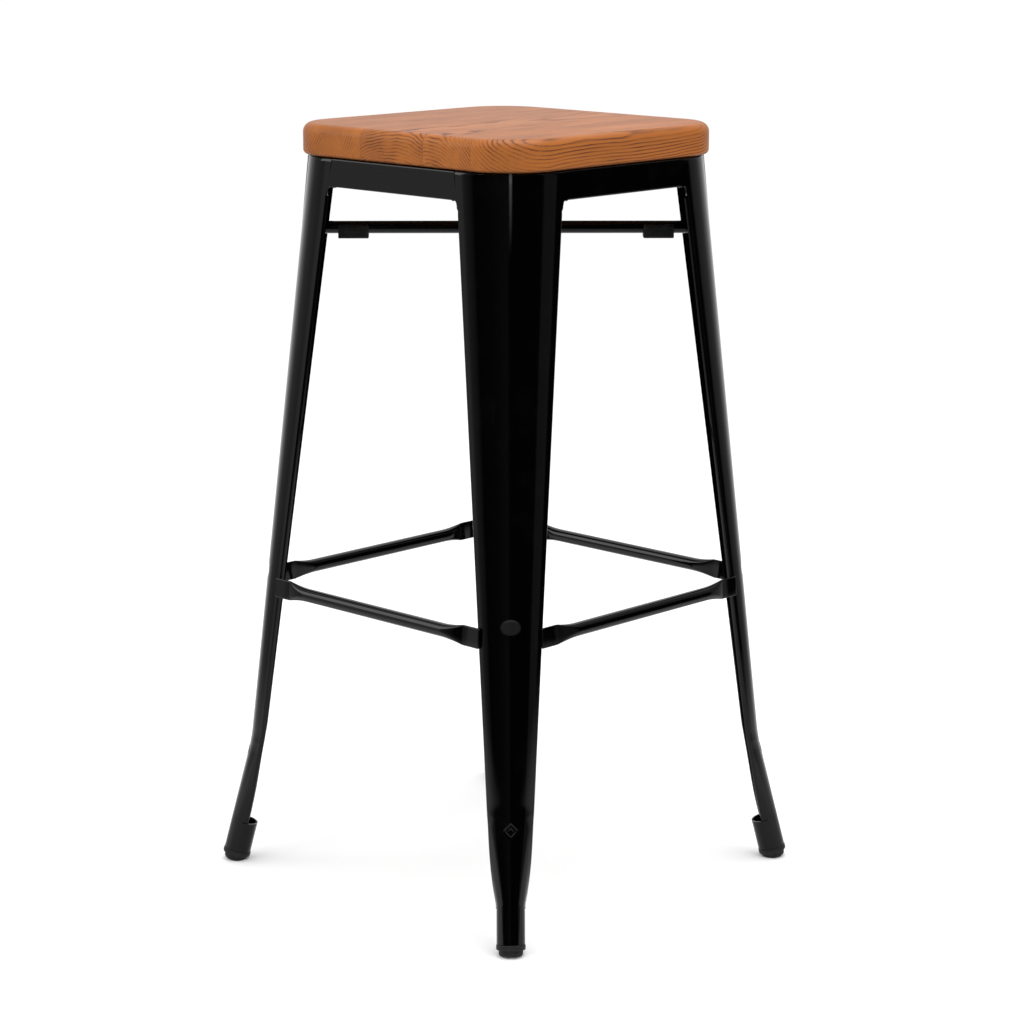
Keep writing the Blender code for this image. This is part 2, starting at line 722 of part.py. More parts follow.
def make_plugs(group, cutters):
    """The rubber plugs in the feet, cut level where they meet the floor."""
    bpy.ops.mesh.primitive_cube_add(size=1.0)
    block = bpy.context.active_object
    mesh = block.data.copy()
    bpy.data.objects.remove(block, do_unlink=True)
    depth = 0.030
    width = 2.0 * (leg_tip(0.0) + 0.05)
    mesh.transform(Matrix.Translation((0.0, 0.0, -depth / 2)) @ Matrix.Diagonal(
        (width, width, depth, 1.0)))
    floor = bpy.data.objects.new("cut_floor", mesh)
    cutters.objects.link(floor)
    make_cutter(floor)
    inward = COLLAR_RADIUS * math.cos(FLARE_TILT)
    drop = COLLAR_RADIUS * math.sin(FLARE_TILT)
    foot = Matrix.Translation((leg_tip(COLLAR_BOTTOM) - inward, 0.0, COLLAR_BOTTOM - drop))
    tilt = Matrix.Rotation(-FLARE_TILT, 4, "Y")
    for corner, degrees in CORNERS.items():
        name = "foot_plug_" + corner
        item = turned(name, plug_profile(), ROUND_STEPS, group, "black_rubber")
        turn = Matrix.Rotation(math.radians(degrees), 4, "Z")
        item.matrix_world = turn @ foot @ tilt
        cut_with(item, floor, "Floor")


# ------------------------------------------------------------------- main
def main():
    """Build the whole stool."""
    clear_scene()
    group = make_collection("bar_stool")
    cutters = make_collection("bar_stool_cutters")
    holes = make_screw_cutters(cutters)
    make_legs(group)
    make_aprons(group, holes)
    make_seat(group, holes)
    make_screws(group)
    make_rails(group)
    make_braces(group)
    make_pads(group)
    make_plugs(group, cutters)
    bpy.context.view_layer.update()


main()
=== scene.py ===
"""Bar stool with a footrest: a pressed steel frame under a solid wooden seat.

Laid out as an add-on.  The frame is loaded first, every piece is modelled on
it by its own operator, and main() runs the operators in order.
Metres, +Z up; the front of the stool faces -Y.
"""

import math

import bmesh
import bpy
from bpy.props import FloatProperty, FloatVectorProperty, IntProperty, PointerProperty
from bpy.types import Operator, Panel, PropertyGroup
from mathutils import Matrix, Vector


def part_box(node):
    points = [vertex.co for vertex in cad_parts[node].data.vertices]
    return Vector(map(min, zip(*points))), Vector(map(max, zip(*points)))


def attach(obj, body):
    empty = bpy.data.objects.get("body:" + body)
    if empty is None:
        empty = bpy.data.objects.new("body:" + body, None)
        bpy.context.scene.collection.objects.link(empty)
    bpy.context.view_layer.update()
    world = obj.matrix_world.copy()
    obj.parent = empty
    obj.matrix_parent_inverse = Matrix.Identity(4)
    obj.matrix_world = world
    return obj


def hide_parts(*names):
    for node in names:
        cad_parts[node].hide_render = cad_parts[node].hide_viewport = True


bl_info = {
    "name": "Bar stool with footrest",
    "version": (1, 0, 0),
    "blender": (4, 5, 0),
    "location": "View3D > Sidebar > Bar stool",
    "description": "Pressed steel bar stool with a wooden seat",
    "category": "Add Mesh",
}

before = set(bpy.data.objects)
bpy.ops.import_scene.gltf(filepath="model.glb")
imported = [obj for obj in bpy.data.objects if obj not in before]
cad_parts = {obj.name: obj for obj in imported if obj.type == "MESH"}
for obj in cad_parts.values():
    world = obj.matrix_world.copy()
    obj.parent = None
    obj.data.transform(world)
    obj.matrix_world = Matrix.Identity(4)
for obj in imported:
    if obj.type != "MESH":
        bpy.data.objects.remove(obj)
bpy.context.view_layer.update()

SEAT_LOW, SEAT_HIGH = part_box("seat_board")
FRAME_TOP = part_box("leg_front_right")[1].z
RAIL_LOW, RAIL_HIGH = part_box("footrest_front")
BRACE_LOW, BRACE_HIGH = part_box("cross_brace_upper")
PAD_LOW, PAD_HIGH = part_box("stacking_pad_back_right")

SIDES = {"front": 0.0, "right": 90.0, "back": 180.0, "left": 270.0}
CORNERS = {"front_right": -45.0, "back_right": 45.0, "back_left": 135.0, "front_left": 225.0}
ROOT2 = math.sqrt(2.0)
QUARTER = math.pi / 2


# ------------------------------------------------------------ user settings
def length(name, default, about):
    """A setting in metres."""
    return FloatProperty(name=name, description=about, default=default, min=0.0,
                         precision=4, unit="LENGTH")


def factor(name, default, about):
    """A setting without a unit."""
    return FloatProperty(name=name, description=about, default=default, precision=4)


def degrees(name, default, about):
    """A setting that is an angle."""
    return FloatProperty(name=name, description=about, default=math.radians(default),
                         subtype="ANGLE", unit="ROTATION")


def colour(name, default, about):
    """A setting that is a colour."""
    return FloatVectorProperty(name=name, description=about, default=default, size=3,
                               min=0.0, max=1.0, subtype="COLOR")


class StoolLegSizes(PropertyGroup):
    """Sizes of the pressed legs."""
    sheet: length("Sheet", 0.0015, "Thickness of the steel sheet")
    overhang: length("Overhang", 0.0010, "Seat edge past the steel at its top")
    splay: factor("Splay", 0.0607, "Outward run of a side for each metre of drop")
    flange_top: length("Flange, top", 0.0725, "Virtual corner to free edge, under the seat")
    flange_bend: length("Flange, bend", 0.0328, "The same where the flare starts")
    flat_top: length("Flat, top", 0.0062, "Flat part of a flange, under the seat")
    flat_bend: length("Flat, bend", 0.0042, "Flat part of a flange, where the flare starts")
    lip: length("Lip radius", 0.0022, "Radius of the lip along the free edge")
    lip_tail: length("Lip tail", 0.0018, "Straight part of the lip, past its curve")
    fold: length("Top fold", 0.0024, "Radius of the fold under the seat")
    shelf: length("Shelf", 0.0120, "Width of the shelf under the seat")
    flare_height: length("Flare height", 0.130, "Where the leg starts to flare")
    flare_slope: factor("Flare slope", 0.255, "Outward run of the flare for each metre of drop")
    flare_power: factor("Flare closing", 1.5, "How late the flanges close up along the flare")
    flare_ease: length("Flare ease", 0.012, "Half height of the soft bend")
    collar_top: length("Collar top", 0.050, "Where the sheet starts to close to a tube")
    collar_step: length("Collar step", 0.005, "Height over which it closes")
    collar_bottom: length("Collar bottom", 0.014, "End of the tube, on its outer side")
    collar: length("Collar radius", 0.0136, "Outer radius of the curled foot")
    collar_seam: degrees("Collar seam", 6.0, "Angle left open on each side of the tube's seam")
    last_flat: length("Last flat", 0.0064, "Flange left straight just above the collar")
    last_angle: degrees("Last angle", 10.0, "Half angle between the flanges there")
    ridge: length("Ridge", 0.0009, "Height of the pressed ridge under the seat")
    ridge_width: length("Ridge width", 0.0011, "Half width of that ridge")
    ridge_length: length("Ridge length", 0.075, "How far down that ridge runs")
    dimple: length("Dimple", 0.0006, "Depth of the pressed dimple behind the footrest")
    dimple_height: length("Dimple height", 0.3095, "Floor to the middle of the dimple")
    lozenge: length("Lozenge", 0.0005, "Depth of the plain pressed lozenge near the foot")
    lozenge_height: length("Lozenge height", 0.1175, "Floor to the middle of the lozenge")


class StoolRailSizes(PropertyGroup):
    """Sizes of the folded rails under the seat."""
    height: length("Height", 0.0275, "Outer face, from the seat down")
    shelf: length("Shelf", 0.0200, "Width of the fold under the seat")
    fold: length("Top fold", 0.0016, "Radius of the upper fold")
    hem: length("Hem radius", 0.0024, "Radius of the hem along the lower edge")
    hem_tail: length("Hem tail", 0.0030, "Straight part of the hem")
    fillet: length("Fillet", 0.0032, "Soft corner between the rail and the leg")
    notch: length("Notch", 0.0012, "Opening of the unwelded seam at its top")


class StoolBarSizes(PropertyGroup):
    """Sizes of the footrest tubes, the crossed bars and their rubber pads."""
    tube: length("Footrest tube", 0.0134, "Diameter of a footrest tube")
    tab_height: length("Tab height", 0.0198, "Height of a flattened end")
    tab_thickness: length("Tab thickness", 0.0026, "Thickness of a flattened end")
    tab_flat: length("Tab flat", 0.0215, "Length that is flat")
    tab_flare: length("Tab flare", 0.0280, "Length from flat to round")
    tab_corner: length("Tab corner", 0.0022, "Corner radius of a flattened end")
    bar: length("Crossed bar", 0.0125, "Diameter of a crossed bar")
    pinch: length("Pinch", 0.0028, "Thickness where one bar crosses the other")
    pinch_width: length("Pinch width", 0.0185, "Width of the bar there")
    pinch_flat: length("Pinch flat", 0.0120, "Half length that is flat")
    pinch_flare: length("Pinch flare", 0.0180, "Length from flat to round")
    pad_length: length("Pad length", 0.0300, "Length of a rubber pad")
    pad_corner: length("Pad corner", 0.0022, "Corner radius of a pad")


class StoolSeatSizes(PropertyGroup):
    """Sizes of the wooden seat."""
    corner: length("Corner", 0.056, "Corner radius in plan")
    top_round: length("Top edge", 0.0095, "Rounding of the upper edge")
    bottom_round: length("Bottom edge", 0.0045, "Rounding of the lower edge")
    rings: length("Growth rings", 0.0031, "Spacing of the growth rings")
    corner_steps: IntProperty(name="Corner steps", default=28, min=4,
                              description="Facets around a corner in plan")


class StoolFinishes(PropertyGroup):
    """Colours and gloss of the finishes."""
    paint: colour("Paint", (0.00030, 0.00030, 0.00032), "Gloss black paint")
    paint_rough: factor("Paint roughness", 0.055, "Roughness of the paint")
    wood_light: colour("Early wood", (0.375, 0.110, 0.0105), "Light part of a growth ring")
    wood_dark: colour("Late wood", (0.095, 0.020, 0.0030), "Dark part of a growth ring")
    wood_rough: factor("Wood roughness", 0.47, "Roughness of the oiled wood")
    rubber: colour("Rubber", (0.0065, 0.0065, 0.0068), "Black rubber")
    zinc: colour("Zinc", (0.42, 0.42, 0.43), "Plated screws")


class StoolStage(PropertyGroup):
    """The floor, the light and the camera."""
    distance: length("Distance", 2.8325, "Camera to the middle of the stool, level")
    height: length("Height", 1.002, "Camera above the floor")
    azimuth: degrees("Azimuth", 43.82, "Camera, round from the front")
    tilt: degrees("Tilt", 12.64, "Camera below the level")
    roll: degrees("Roll", 0.1, "Camera about its own axis")
    lens: FloatProperty(name="Lens", description="Focal length", default=100.82,
                        unit="CAMERA")
    shift: factor("Shift", 0.00626, "Sideways shift of the lens")
    floor: colour("Floor", (0.93, 0.93, 0.928), "Pale floor")


SETTINGS = {
    "stool_leg": StoolLegSizes,
    "stool_rail": StoolRailSizes,
    "stool_bar": StoolBarSizes,
    "stool_seat": StoolSeatSizes,
    "stool_finish": StoolFinishes,
    "stool_stage": StoolStage,
}


# ------------------------------------------------------------------ helpers
def lerp(a, b, t):
    """The value a share t of the way from a to b."""
    return a + (b - a) * t


def ease(t):
    """A soft step from 0 to 1."""
    t = min(1.0, max(0.0, t))
    return t * t * (3.0 - 2.0 * t)


def spaced(a, b, step):
    """Values from a to b, about a step apart, without the first."""
    count = max(1, round(abs(b - a) / step))
    return [lerp(a, b, i / count) for i in range(1, count + 1)]


def clear_selection():
    """Object mode, with nothing selected."""
    active = bpy.context.view_layer.objects.active
    if active is not None and active.mode != "OBJECT":
        bpy.ops.object.mode_set(mode="OBJECT")
    bpy.ops.object.select_all(action="DESELECT")


def choose(item):
    """Make an item the only one selected, and the active one."""
    clear_selection()
    item.select_set(True)
    bpy.context.view_layer.objects.active = item


def edit(item, pick=None, kind="EDGE"):
    """Edit mode with the edges or faces for which pick() is true selected."""
    choose(item)
    bpy.ops.object.mode_set(mode="EDIT")
    bpy.ops.mesh.select_mode(type=kind)
    bpy.ops.mesh.select_all(action="SELECT" if pick is None else "DESELECT")
    if pick is None:
        return
    shape = bmesh.from_edit_mesh(item.data)
    shape.faces.index_update()
    for part in shape.edges if kind == "EDGE" else shape.faces:
        if pick(part):
            part.select_set(True)
    shape.select_flush_mode()
    bmesh.update_edit_mesh(item.data)


def finish_edit():
    """Back to object mode."""
    bpy.ops.object.mode_set(mode="OBJECT")


def modify(item, kind, **settings):
    """Add a modifier, set it and apply it."""
    choose(item)
    bpy.ops.object.modifier_add(type=kind)
    modifier = item.modifiers[-1]
    for name, value in settings.items():
        setattr(modifier, name, value)
    bpy.ops.object.modifier_apply(modifier=modifier.name)


def settle(item):
    """Put an item's place, turn and scale into its mesh."""
    choose(item)
    bpy.ops.object.transform_apply(location=True, rotation=True, scale=True)


def soften(item, angle=32.0):
    """Smooth shading, with edges sharper than the angle kept."""
    choose(item)
    bpy.ops.object.shade_smooth_by_angle(angle=math.radians(angle))


def weld_and_face_out(item, distance=0.000005):
    """Merge doubled points, then turn every face outwards."""
    edit(item)
    bpy.ops.mesh.remove_doubles(threshold=distance)
    bpy.ops.mesh.normals_make_consistent(inside=False)
    finish_edit()


def bare_grid(across, down):
    """A flat grid from -1 to 1 with these numbers of points, all deselected first."""
    clear_selection()
    bpy.ops.mesh.primitive_grid_add(x_subdivisions=across - 1, y_subdivisions=down - 1,
                                    size=2.0, location=(0.0, 0.0, 0.0))
    return bpy.context.active_object


def sheet_from_rows(rows, keep):
    """A surface through rows of points, from a grid; keep(row, column) keeps a face.

    Rows run downwards, and points run anticlockwise seen from above, so the
    faces look outwards.
    """
    down, across = len(rows), len(rows[0])
    item = bare_grid(across, down)
    for point in item.data.vertices:
        i = round((point.co.x + 1.0) / 2.0 * (across - 1))
        j = round((1.0 - point.co.y) / 2.0 * (down - 1))
        point.co = rows[j][i]
    gone = set()
    for number in range((across - 1) * (down - 1)):
        if not keep(down - 2 - number // (across - 1), number % (across - 1)):
            gone.add(number)
    edit(item, lambda face: face.index in gone, "FACE")
    bpy.ops.mesh.delete(type="FACE")
    finish_edit()
    return item


def copy_turned(item, angle):
    """A copy with its own mesh, turned about the stool's middle by degrees."""
    choose(item)
    bpy.ops.object.duplicate()
    other = bpy.context.active_object
    other.data.transform(Matrix.Rotation(math.radians(angle), 4, "Z"))
    return other


def file_piece(item, name, material, slot, *nodes):
    """Name a finished piece, give it its finish, and put it on the frame."""
    item.name = name
    item.data.name = name
    item.data.materials.clear()
    item.data.materials.append(bpy.data.materials[material])
    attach(item, "root")
    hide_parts(*nodes)


def discard(item):
    """Remove a piece that only helped to make another."""
    bpy.data.objects.remove(item, do_unlink=True)


def set_round(item, places, name, node, material, slot):
    """Copies of a piece, turned to each place and filed; the first one goes."""
    for place, angle in places.items():
        file_piece(copy_turned(item, angle), name + place, material, slot, node + place)
    discard(item)


# --------------------------------------------------------- finishes, as nodes
class Wire:
    """A socket; used in an expression it adds Math nodes."""

    def __init__(self, graph, socket):
        self.graph = graph
        self.socket = socket

    def maths(self, operation, *others, clamp=False):
        """This value and the others through one Math node."""
        return self.graph.node("Math", {"operation": operation, "use_clamp": clamp},
                               dict(enumerate((self,) + others)))

    def __add__(self, other):
        return self.maths("ADD", other)

    __radd__ = __add__

    def __mul__(self, other):
        return self.maths("MULTIPLY", other)

    __rmul__ = __mul__

    def __sub__(self, other):
        return self.maths("SUBTRACT", other)

    def __rsub__(self, other):
        return self.graph.node("Math", {"operation": "SUBTRACT"}, {0: other, 1: self})

    def __truediv__(self, other):
        return self.maths("DIVIDE", other)

    def __gt__(self, other):
        return self.maths("GREATER_THAN", other)

    def __pow__(self, other):
        return self.maths("POWER", other)


class Finish:
    """A material, or the world, as a graph of nodes."""

    def __init__(self, name, owner=None):
        if owner is None:
            owner = bpy.data.materials.new(name)
        self.owner = owner
        owner.use_nodes = True
        self.tree = owner.node_tree
        self.tree.nodes.clear()

    def node(self, kind, settings=None, inputs=None, output=0):
        """Add a node, set it first, then fill or link its sockets."""
        node = self.tree.nodes.new("ShaderNode" + kind)
        for name, value in (settings or {}).items():
            setattr(node, name, value)
        for name, value in (inputs or {}).items():
            socket = node.inputs[name]
            if isinstance(value, Wire):
                self.tree.links.new(value.socket, socket)
            else:
                socket.default_value = value
        return Wire(self, node.outputs[output]) if node.outputs else None

    def place(self, scale=(1.0, 1.0, 1.0)):
        """Object coordinates, scaled for a pattern."""
        here = self.node("TexCoord", output="Object")
        return self.node("Mapping", inputs={"Vector": here, "Scale": scale})

    def noise(self, scale, detail=2.0, stretch=(1.0, 1.0, 1.0), roughness=0.5):
        """Noise between about 0 and 1, its scale in features per metre."""
        return self.node("TexNoise", {"noise_dimensions": "3D"},
                         {"Vector": self.place(stretch), "Scale": scale, "Detail": detail,
                          "Roughness": roughness}, "Fac")

    def spread(self, value, low, high, new_low=0.0, new_high=1.0, kind="SMOOTHSTEP"):
        """A value between two limits, spread over a new range."""
        return self.node("MapRange", {"interpolation_type": kind, "clamp": True},
                         {"Value": value, "From Min": low, "From Max": high,
                          "To Min": new_low, "To Max": new_high}, "Result")

    def ramp(self, value, stops):
        """A brightness that follows a value through stops."""
        node = self.tree.nodes.new("ShaderNodeValToRGB")
        points = node.color_ramp.elements
        while len(points) < len(stops):
            points.new(0.5)
        for point, (place, light) in zip(points, stops):
            point.position = place
            point.color = (light, light, light, 1.0)
        self.tree.links.new(value.socket, node.inputs[0])
        return Wire(self, node.outputs[0])

    def mix(self, share, one, two):
        """Two colours mixed."""
        node = self.tree.nodes.new("ShaderNodeMix")
        node.data_type = "RGBA"
        for index, value in ((0, share), (6, one), (7, two)):
            if isinstance(value, Wire):
                self.tree.links.new(value.socket, node.inputs[index])
            elif index == 0:
                node.inputs[index].default_value = value
            else:
                node.inputs[index].default_value = tuple(value) + (1.0,)
        return Wire(self, node.outputs[2])

    def bump(self, height, strength, distance, normal=None):
        """A bump in metres, on top of another one."""
        inputs = {"Height": height, "Strength": strength, "Distance": distance}
        if normal is not None:
            inputs["Normal"] = normal
        return self.node("Bump", inputs=inputs)

    def surface(self, sockets):
        """The finished shader, onto the material's output."""
        shader = self.node("BsdfPrincipled", inputs=sockets)
        self.node("OutputMaterial", inputs={"Surface": shader})


DULL_PAINT = (0.0008, 0.0008, 0.00085)
PAINT_DUST = (0.020, 0.0195, 0.019)
# Pale tone of the painted highlight along the pressed ridge.
CREST_PAINTED_HIGHLIGHT = (0.055, 0.055, 0.056)
# Pale tone of the painted highlight over the pressed dimple.
DIMPLE_PAINTED_HIGHLIGHT = (0.0098, 0.0098, 0.0100)
DIMPLE_HIGHLIGHT_SIZE = (0.0100, 0.0076)  # half width and half height of the oval painted highlight on the dimple


def paint_finish(settings, sizes):
    """Gloss black paint: faint orange peel, flow marks, scuffs, and painted highlights on the
    pressed ridge and the dimple.
    """
    finish = Finish("gloss_black_paint")
    here = finish.node("TexCoord", output="Object")
    x, y, z = (finish.node("SeparateXYZ", inputs={0: here}, output=i) for i in range(3))
    aside = (x.maths("ABSOLUTE") - y.maths("ABSOLUTE")).maths("ABSOLUTE") / ROOT2
    # Painted highlight: a pale line along the crest of the pressed ridge, fading downwards and
    # strongest just under the seat; the same mask also makes the paint rougher there.
    crest_highlight = finish.spread(aside, 0.0006, 1.8 * sizes.ridge_width, 1.0, 0.0)
    rise = finish.spread(z, FRAME_TOP - sizes.ridge_length, FRAME_TOP - 0.004, 0.0, 1.0,
                         "LINEAR")
    crest_highlight = crest_highlight * (rise ** 1.5 * 0.75 + finish.spread(z, FRAME_TOP - 0.012, FRAME_TOP))
    dull = finish.spread(finish.noise(38.0, 4.0), 0.52, 0.74)
    scuff = finish.spread(finish.noise(95.0, 5.0, (1.0, 1.0, 0.25), 0.62), 0.66, 0.76)
    dust = finish.spread(finish.noise(2100.0, 1.0), 0.74, 0.82)
    tone = finish.mix(dull, tuple(settings.paint), DULL_PAINT)
    tone = finish.mix(dust * 0.10 + scuff * 0.06, tone, PAINT_DUST)
    tone = finish.mix(crest_highlight, tone, CREST_PAINTED_HIGHLIGHT)
    # Painted highlight: a pale oval over the pressed dimple behind the footrest.
    wide, tall = DIMPLE_HIGHLIGHT_SIZE
    reach = (aside / wide) ** 2.0 + ((z - sizes.dimple_height) / tall) ** 2.0
    dimple_highlight = finish.spread(reach, 0.72, 1.06, 1.0, 0.0)
    tone = finish.mix(dimple_highlight, tone, DIMPLE_PAINTED_HIGHLIGHT)
    peel = finish.noise(620.0, 2.0)
    flow = finish.noise(26.0, 2.0, (1.0, 1.0, 0.35))
    normal = finish.bump(flow, 0.16, 0.0012)
    normal = finish.bump(peel, 0.05, 0.00022, normal)
    rough = dull * 0.04 + scuff * 0.12 + dust * 0.10 + crest_highlight * 0.25 + settings.paint_rough
    finish.surface({"Base Color": tone, "Roughness": rough, "Normal": normal,
                    "IOR": 1.5})


def rubber_finish(settings):
    """Moulded black rubber: a fine grain and a pale bloom."""
    finish = Finish("moulded_rubber")
    bloom = finish.spread(finish.noise(120.0, 4.0), 0.40, 0.80)
    tone = finish.mix(bloom, tuple(settings.rubber), (0.016, 0.0158, 0.0152))
    grain = finish.noise(2400.0, 2.0)
    finish.surface({"Base Color": tone, "Roughness": bloom * 0.18 + 0.52,
                    "Normal": finish.bump(grain, 0.30, 0.00015), "IOR": 1.5})


def zinc_finish(settings):
    """Zinc plated screws: cloudy, with fine turning marks."""
    finish = Finish("plated_screw")
    cloud = finish.spread(finish.noise(420.0, 3.0), 0.30, 0.75)
    tone = finish.mix(cloud, tuple(settings.zinc), (0.56, 0.55, 0.50))
    marks = finish.noise(3000.0, 2.0, (1.0, 1.0, 0.1))
    finish.surface({"Base Color": tone, "Metallic": 1.0, "Roughness": cloud * 0.16 + 0.27,
                    "Normal": finish.bump(marks, 0.22, 0.0001)})


STAVE_JOINTS = (-0.042, 0.043, 0.105)
# For each stave: heart of the tree beside and below it, lean of the grain,
# tone against the others, and a shift that keeps the patterns apart.
STAVES = (
    (-0.190, 0.800, 0.020, 0.93, 0.0),
    (0.010, 0.655, -0.035, 0.93, 3.7),
    (0.045, 0.700, 0.045, 1.00, 7.9),
    (0.185, 0.812, -0.020, 1.02, 12.4),
)


SPLIT_TONE = (0.050, 0.014, 0.005)
GLUE_LINE_TONE = (0.070, 0.022, 0.008)
GLUE_LINE = 0.0005
# Painted shade: share of its tone that the seat's underside keeps.
UNDERSIDE_PAINTED_SHADE = 0.40


def wood_finish(settings, sizes):
    """Oiled hardwood, glued from staves whose grain runs along Y, with painted shade on its
    underside.
    """
    finish = Finish("oiled_hardwood")
    here = finish.node("TexCoord", output="Object")
    across, along, up = (finish.node("SeparateXYZ", inputs={0: here}, output=i)
                         for i in range(3))
    masks = [across > joint for joint in STAVE_JOINTS]

    def by_stave(column):
        """A value that each stave has of its own."""
        value = STAVES[0][column]
        for mask, before, after in zip(masks, STAVES, STAVES[1:]):
            value = mask * (after[column] - before[column]) + value
        return value

    shift = by_stave(4)
    grain_place = finish.node("CombineXYZ", inputs={0: across + shift, 1: along, 2: up})

    def grain_noise(scale, stretch, detail=3.0, roughness=0.5):
        """Noise drawn out along the grain, different in each stave."""
        vector = finish.node("VectorMath", {"operation": "MULTIPLY"},
                             {0: grain_place, 1: (1.0, stretch, 1.0)})
        return finish.node("TexNoise", inputs={"Vector": vector, "Scale": scale,
                                               "Detail": detail, "Roughness": roughness},
                           output="Fac")

    lean = along * by_stave(2)
    wander = grain_noise(14.0, 0.30, 3.0, 0.55) - 0.5
    fine_wander = grain_noise(70.0, 0.16, 3.0) - 0.5
    run = across - by_stave(0) + lean
    rise = up - by_stave(1) + lean * 0.6
    radius = (run * run + rise * rise).maths("SQRT")
    radius = radius + wander * 0.016 + fine_wander * 0.0022
    rings = radius / sizes.rings + (grain_noise(9.0, 0.25, 1.0) - 0.5) * 2.5
    saw = rings.maths("FRACT")
    early = finish.spread(saw, 0.0, 0.46, 1.0, 0.0)
    edge = finish.spread(saw, 0.90, 1.0)
    ring = early.maths("MAXIMUM", edge)
    strength = finish.spread(grain_noise(48.0, 0.14, 3.0, 0.6), 0.36, 0.66, 0.12, 1.0)
    pores = finish.spread(grain_noise(900.0, 0.030, 2.0, 0.6), 0.53, 0.66) * ring
    fibre = grain_noise(1500.0, 0.020, 1.0) - 0.5
    cloud = grain_noise(30.0, 0.18, 3.0) - 0.5
    split = finish.spread(grain_noise(75.0, 0.055, 3.0, 0.5), 0.735, 0.80)

    shade = ring * strength * 0.84 + pores * 0.45 + fibre * 0.36 + cloud * 0.80 + 0.10
    tone = finish.mix(shade.maths("ADD", 0.0, clamp=True), tuple(settings.wood_light),
                      tuple(settings.wood_dark))
    tone = finish.mix(split * 0.65, tone, SPLIT_TONE)
    joint = None
    for place in STAVE_JOINTS:
        line = finish.spread((across - place).maths("ABSOLUTE"), 0.0, GLUE_LINE, 1.0, 0.0)
        joint = line if joint is None else joint + line
    tone = finish.mix(joint * 0.35, tone, GLUE_LINE_TONE)
    # Painted shade: the board is darkened within 3 mm of its bottom face, together with each
    # stave's own tone.
    under = finish.spread(up, SEAT_LOW.z + 0.0003, SEAT_LOW.z + 0.0030, UNDERSIDE_PAINTED_SHADE, 1.0)
    bright = finish.node("HueSaturation", inputs={"Color": tone,
                                                  "Value": under * by_stave(3)})
    height = 0.0 - ring * 0.35 - pores - split * 1.5 - joint * 0.6
    normal = finish.bump(height, 0.55, 0.00022)
    rough = shade * 0.08 + pores * 0.12 + (settings.wood_rough - 0.04)
    finish.surface({"Base Color": bright, "Roughness": rough, "Normal": normal,
                    "IOR": 1.42})


FLOOR_FADE = (0.55, 1.50)  # distance over which it clears in reflections
FLOOR_CLEAR_NEAR = 0.62    # how clear it already is beside the stool


def floor_finish(settings):
    """A plain pale floor with the faintest mottling, partly clear in reflections."""
    finish = Finish("pale_floor")
    cloud = finish.noise(1.3, 3.0)
    pale = tuple(settings.floor)
    tone = finish.mix(cloud, pale, tuple(0.97 * c for c in pale))
    paper = finish.node("BsdfPrincipled", inputs={"Base Color": tone, "Roughness": 0.9,
                                                  "IOR": 1.1})
    away = finish.node("VectorMath", {"operation": "LENGTH"}, {0: finish.place()}, "Value")
    fade = finish.spread(away, *FLOOR_FADE, FLOOR_CLEAR_NEAR)
    fade = fade * finish.node("LightPath", output="Is Glossy Ray")
    clear = finish.node("BsdfTransparent")
    both = finish.node("MixShader", inputs={0: fade, 1: paper, 2: clear})
    finish.node("OutputMaterial", inputs={"Surface": both})


# ---------------------------------------------------------- shape of the legs
class LegShape:
    """The shape of one leg, worked out from its sizes."""

    def __init__(self, sizes, rail):
        self.sizes = sizes
        self.half = (SEAT_HIGH.x - SEAT_LOW.x) / 2 - sizes.overhang
        self.rail_bottom = FRAME_TOP - rail.height
        self.lip_top = self.rail_bottom - rail.fillet - 0.002

    def side(self, z):
        """Distance of the stool's sloping side from the middle."""
        return self.half + self.sizes.splay * (FRAME_TOP - z)

    def share(self, z):
        """0 where the flare starts, 1 under the seat."""
        low = self.sizes.flare_height
        return (z - low) / (FRAME_TOP - low)

    def flange(self, z):
        """Width of the flange, from the virtual corner."""
        return lerp(self.sizes.flange_bend, self.sizes.flange_top, self.share(z))

    def flat(self, z):
        """Flat part of the flange."""
        return lerp(self.sizes.flat_bend, self.sizes.flat_top, self.share(z))

    def corner(self, z):
        """Radius of the round corner."""
        return self.flange(z) - self.flat(z)

    def seam(self, z):
        """Distance along a side from its middle to the flange's edge."""
        return self.side(z) - self.flange(z)

    def tip(self, z):
        """How far the round corner reaches along the diagonal."""
        sizes = self.sizes
        corner = self.corner(max(z, sizes.flare_height))
        straight = ROOT2 * self.side(z) - (ROOT2 - 1.0) * corner
        low = z - sizes.flare_height
        extra = sizes.flare_slope - sizes.splay * ROOT2
        if low >= sizes.flare_ease:
            return straight
        if low <= -sizes.flare_ease:
            return straight - extra * low
        return straight + extra * (sizes.flare_ease - low) ** 2 / (4.0 * sizes.flare_ease)


CORNER_PARTS = 36
CORNER_EVENNESS = 0.16  # 1 spaces the corner's points evenly
FLAT_PARTS = 3
LIP_PARTS = 8
LIP_GROWS = 0.007       # height over which a leg's lip folds in
PLAIN_FROM = 0.640      # below this the leg needs few rows


def corner_share(i):
    """Spacing of the corner's points, closer near its middle."""
    t = i / CORNER_PARTS
    return CORNER_EVENNESS * t + (1.0 - CORNER_EVENNESS) * t * t


